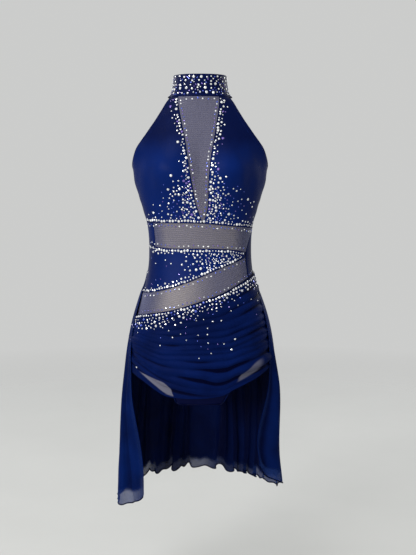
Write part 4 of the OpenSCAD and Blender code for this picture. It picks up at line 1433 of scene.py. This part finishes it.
def make_seams():
    """Fine cord of thread in the valley of each seam between two panels."""
    front = np.linspace(-90, 90, 300)
    wedge = np.linspace(-90, 66.5, 300)
    collar = np.linspace(-62, 62, 200)
    v_depth = np.linspace(25, 299, 200)
    share = np.linspace(0, 1, 120)
    bend = curve(LEFT_SIDE_BEND, share)
    side_depth = np.linspace(306, 352, 40)
    join = np.linspace(188, 446, 200)
    back = np.linspace(91.5, 268.5, 300)
    lines = {
        "bodice_hem_seam": (front, bodice_hem(front)),
        "wedge_top_seam": (wedge, curve(WEDGE_TOP, wedge)),
        "wedge_bottom_seam": (wedge, curve(WEDGE_BOTTOM, wedge)),
        "drape_top_seam": (front, drape_top(front)),
        "collar_front_seam": (collar, 0 * collar + COLLAR_FOOT + SEAM_GAP / 2),
        "v_right_seam": (curve(V_RIGHT_EDGE, v_depth), v_depth),
        "v_left_seam": (curve(V_LEFT_EDGE, v_depth), v_depth),
        "left_side_seam": (bend, mix(bodice_hem(bend), drape_top(bend), share)),
        "right_side_seam": (0 * side_depth + RIGHT_SIDE_EDGE, side_depth),
        "left_join_seam": (0 * join + SIDE_SEAM - SIDE_LAP, join),
        "right_join_seam": (0 * join - SIDE_SEAM + SIDE_LAP, join),
        "back_waist_seam": (back, about_back(SKIRT_TOP, back) + WAIST_SEAM_DROP)}
    for name, (angle, depth) in lines.items():
        path = on_body(angle, depth, SHELL[1] - SEAM_SINK)
        path, angle, depth = resample(path, SEAM_STEP, angle, depth)
        tube(name, path, SEAM_R * MM, HEM_THREAD, normal=outward(angle, depth))


def dress_cad_nodes():
    """The press snaps keep their own shape, in plated metal."""
    for name in ("snap_studs", "snap_sockets", "snap_caps"):
        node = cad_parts[name]
        node.data.materials.clear()
        node.data.materials.append(METAL)


# ---- stage

MIDDLE = (cad_box[0] + cad_box[1]) / 2
FLOOR_DROP = 0.28
FLOOR_R = 6.0
FADE_START, FADE_END = 1.5, 3.6


def make_floor():
    """Plain pale floor that fades out before its edge."""
    segments, rings = 96, 12
    radii = np.linspace(0, FLOOR_R, rings + 1)[1:]
    turn = np.arange(segments) * 2 * math.pi / segments
    z = cad_box[0].z - FLOOR_DROP
    points = [(0.0, 0.0, z)] + [(r * math.cos(t), r * math.sin(t), z) for r in radii for t in turn]
    faces = [(0, 1 + k, 1 + (k + 1) % segments) for k in range(segments)]
    for ring in range(rings - 1):
        a, b = 1 + ring * segments, 1 + (ring + 1) * segments
        faces += [(a + k, b + k, b + (k + 1) % segments, a + (k + 1) % segments) for k in range(segments)]
    f = Finish("pale_floor", Roughness=0.9, Specular_IOR_Level=0.1)
    clouds = f.grain(f.place(), 3.0, 3.0)
    f.set("Base Color", f.blend(clouds, (0.48, 0.485, 0.475), (0.53, 0.535, 0.525)))
    length = f.node("VectorMath", 1, {"operation": "LENGTH"}, {0: f.place()})
    f.set("Alpha", f.remap(length, 1.0, 0.0, FADE_START, FADE_END))
    mesh_object("floor", points, faces, f.material)


def area_light(name, place, size, power, colour=(1, 1, 1)):
    light = bpy.data.lights.new(name, "AREA")
    light.shape = "DISK"
    light.size = size
    light.energy = power
    light.color = colour
    holder = bpy.data.objects.new(name, light)
    bpy.context.scene.collection.objects.link(holder)
    holder.location = place
    holder.rotation_euler = (MIDDLE - Vector(place)).to_track_quat("-Z", "Y").to_euler()


def make_lights():
    world = bpy.data.worlds.new("studio")
    world.use_nodes = True
    background = world.node_tree.nodes["Background"]
    background.inputs["Color"].default_value = (0.60, 0.605, 0.598, 1)
    background.inputs["Strength"].default_value = 1.0
    bpy.context.scene.world = world
    area_light("key", (-1.7, -2.3, 0.1), 1.0, 62, (1.0, 0.985, 0.96))
    area_light("top", (-0.5, -0.9, 1.7), 0.7, 22)
    area_light("fill", (2.0, -1.7, 0.0), 1.6, 3, (0.95, 0.98, 1.0))
    area_light("rim_left", (-1.9, 1.9, 0.7), 1.4, 26)
    area_light("rim_right", (1.9, 2.0, 0.5), 1.4, 26)


CAMERA_PLACE = (0.018, -2.077, -0.184)
CAMERA_TILT = 6.85
CAMERA_LENS = 58.57


def make_camera():
    camera = bpy.data.cameras.new("camera")
    camera.lens = CAMERA_LENS
    camera.sensor_width = 36
    camera.sensor_fit = "AUTO"
    holder = bpy.data.objects.new("camera", camera)
    bpy.context.scene.collection.objects.link(holder)
    holder.location = CAMERA_PLACE
    holder.rotation_euler = (math.radians(90 - CAMERA_TILT), 0, 0)
    bpy.context.scene.camera = holder
    bpy.context.scene.view_settings.view_transform = "Standard"


# ---- everything

make_camera()
tab = make_collar()
make_bodice()
make_windows()
make_waist()
make_back()
make_brief()
make_gusset()
make_drape()
make_edges()
make_skirt()
make_crystals()
make_stitches()
make_seams()
dress_cad_nodes()
blend_tab(tab)
make_floor()
make_lights()
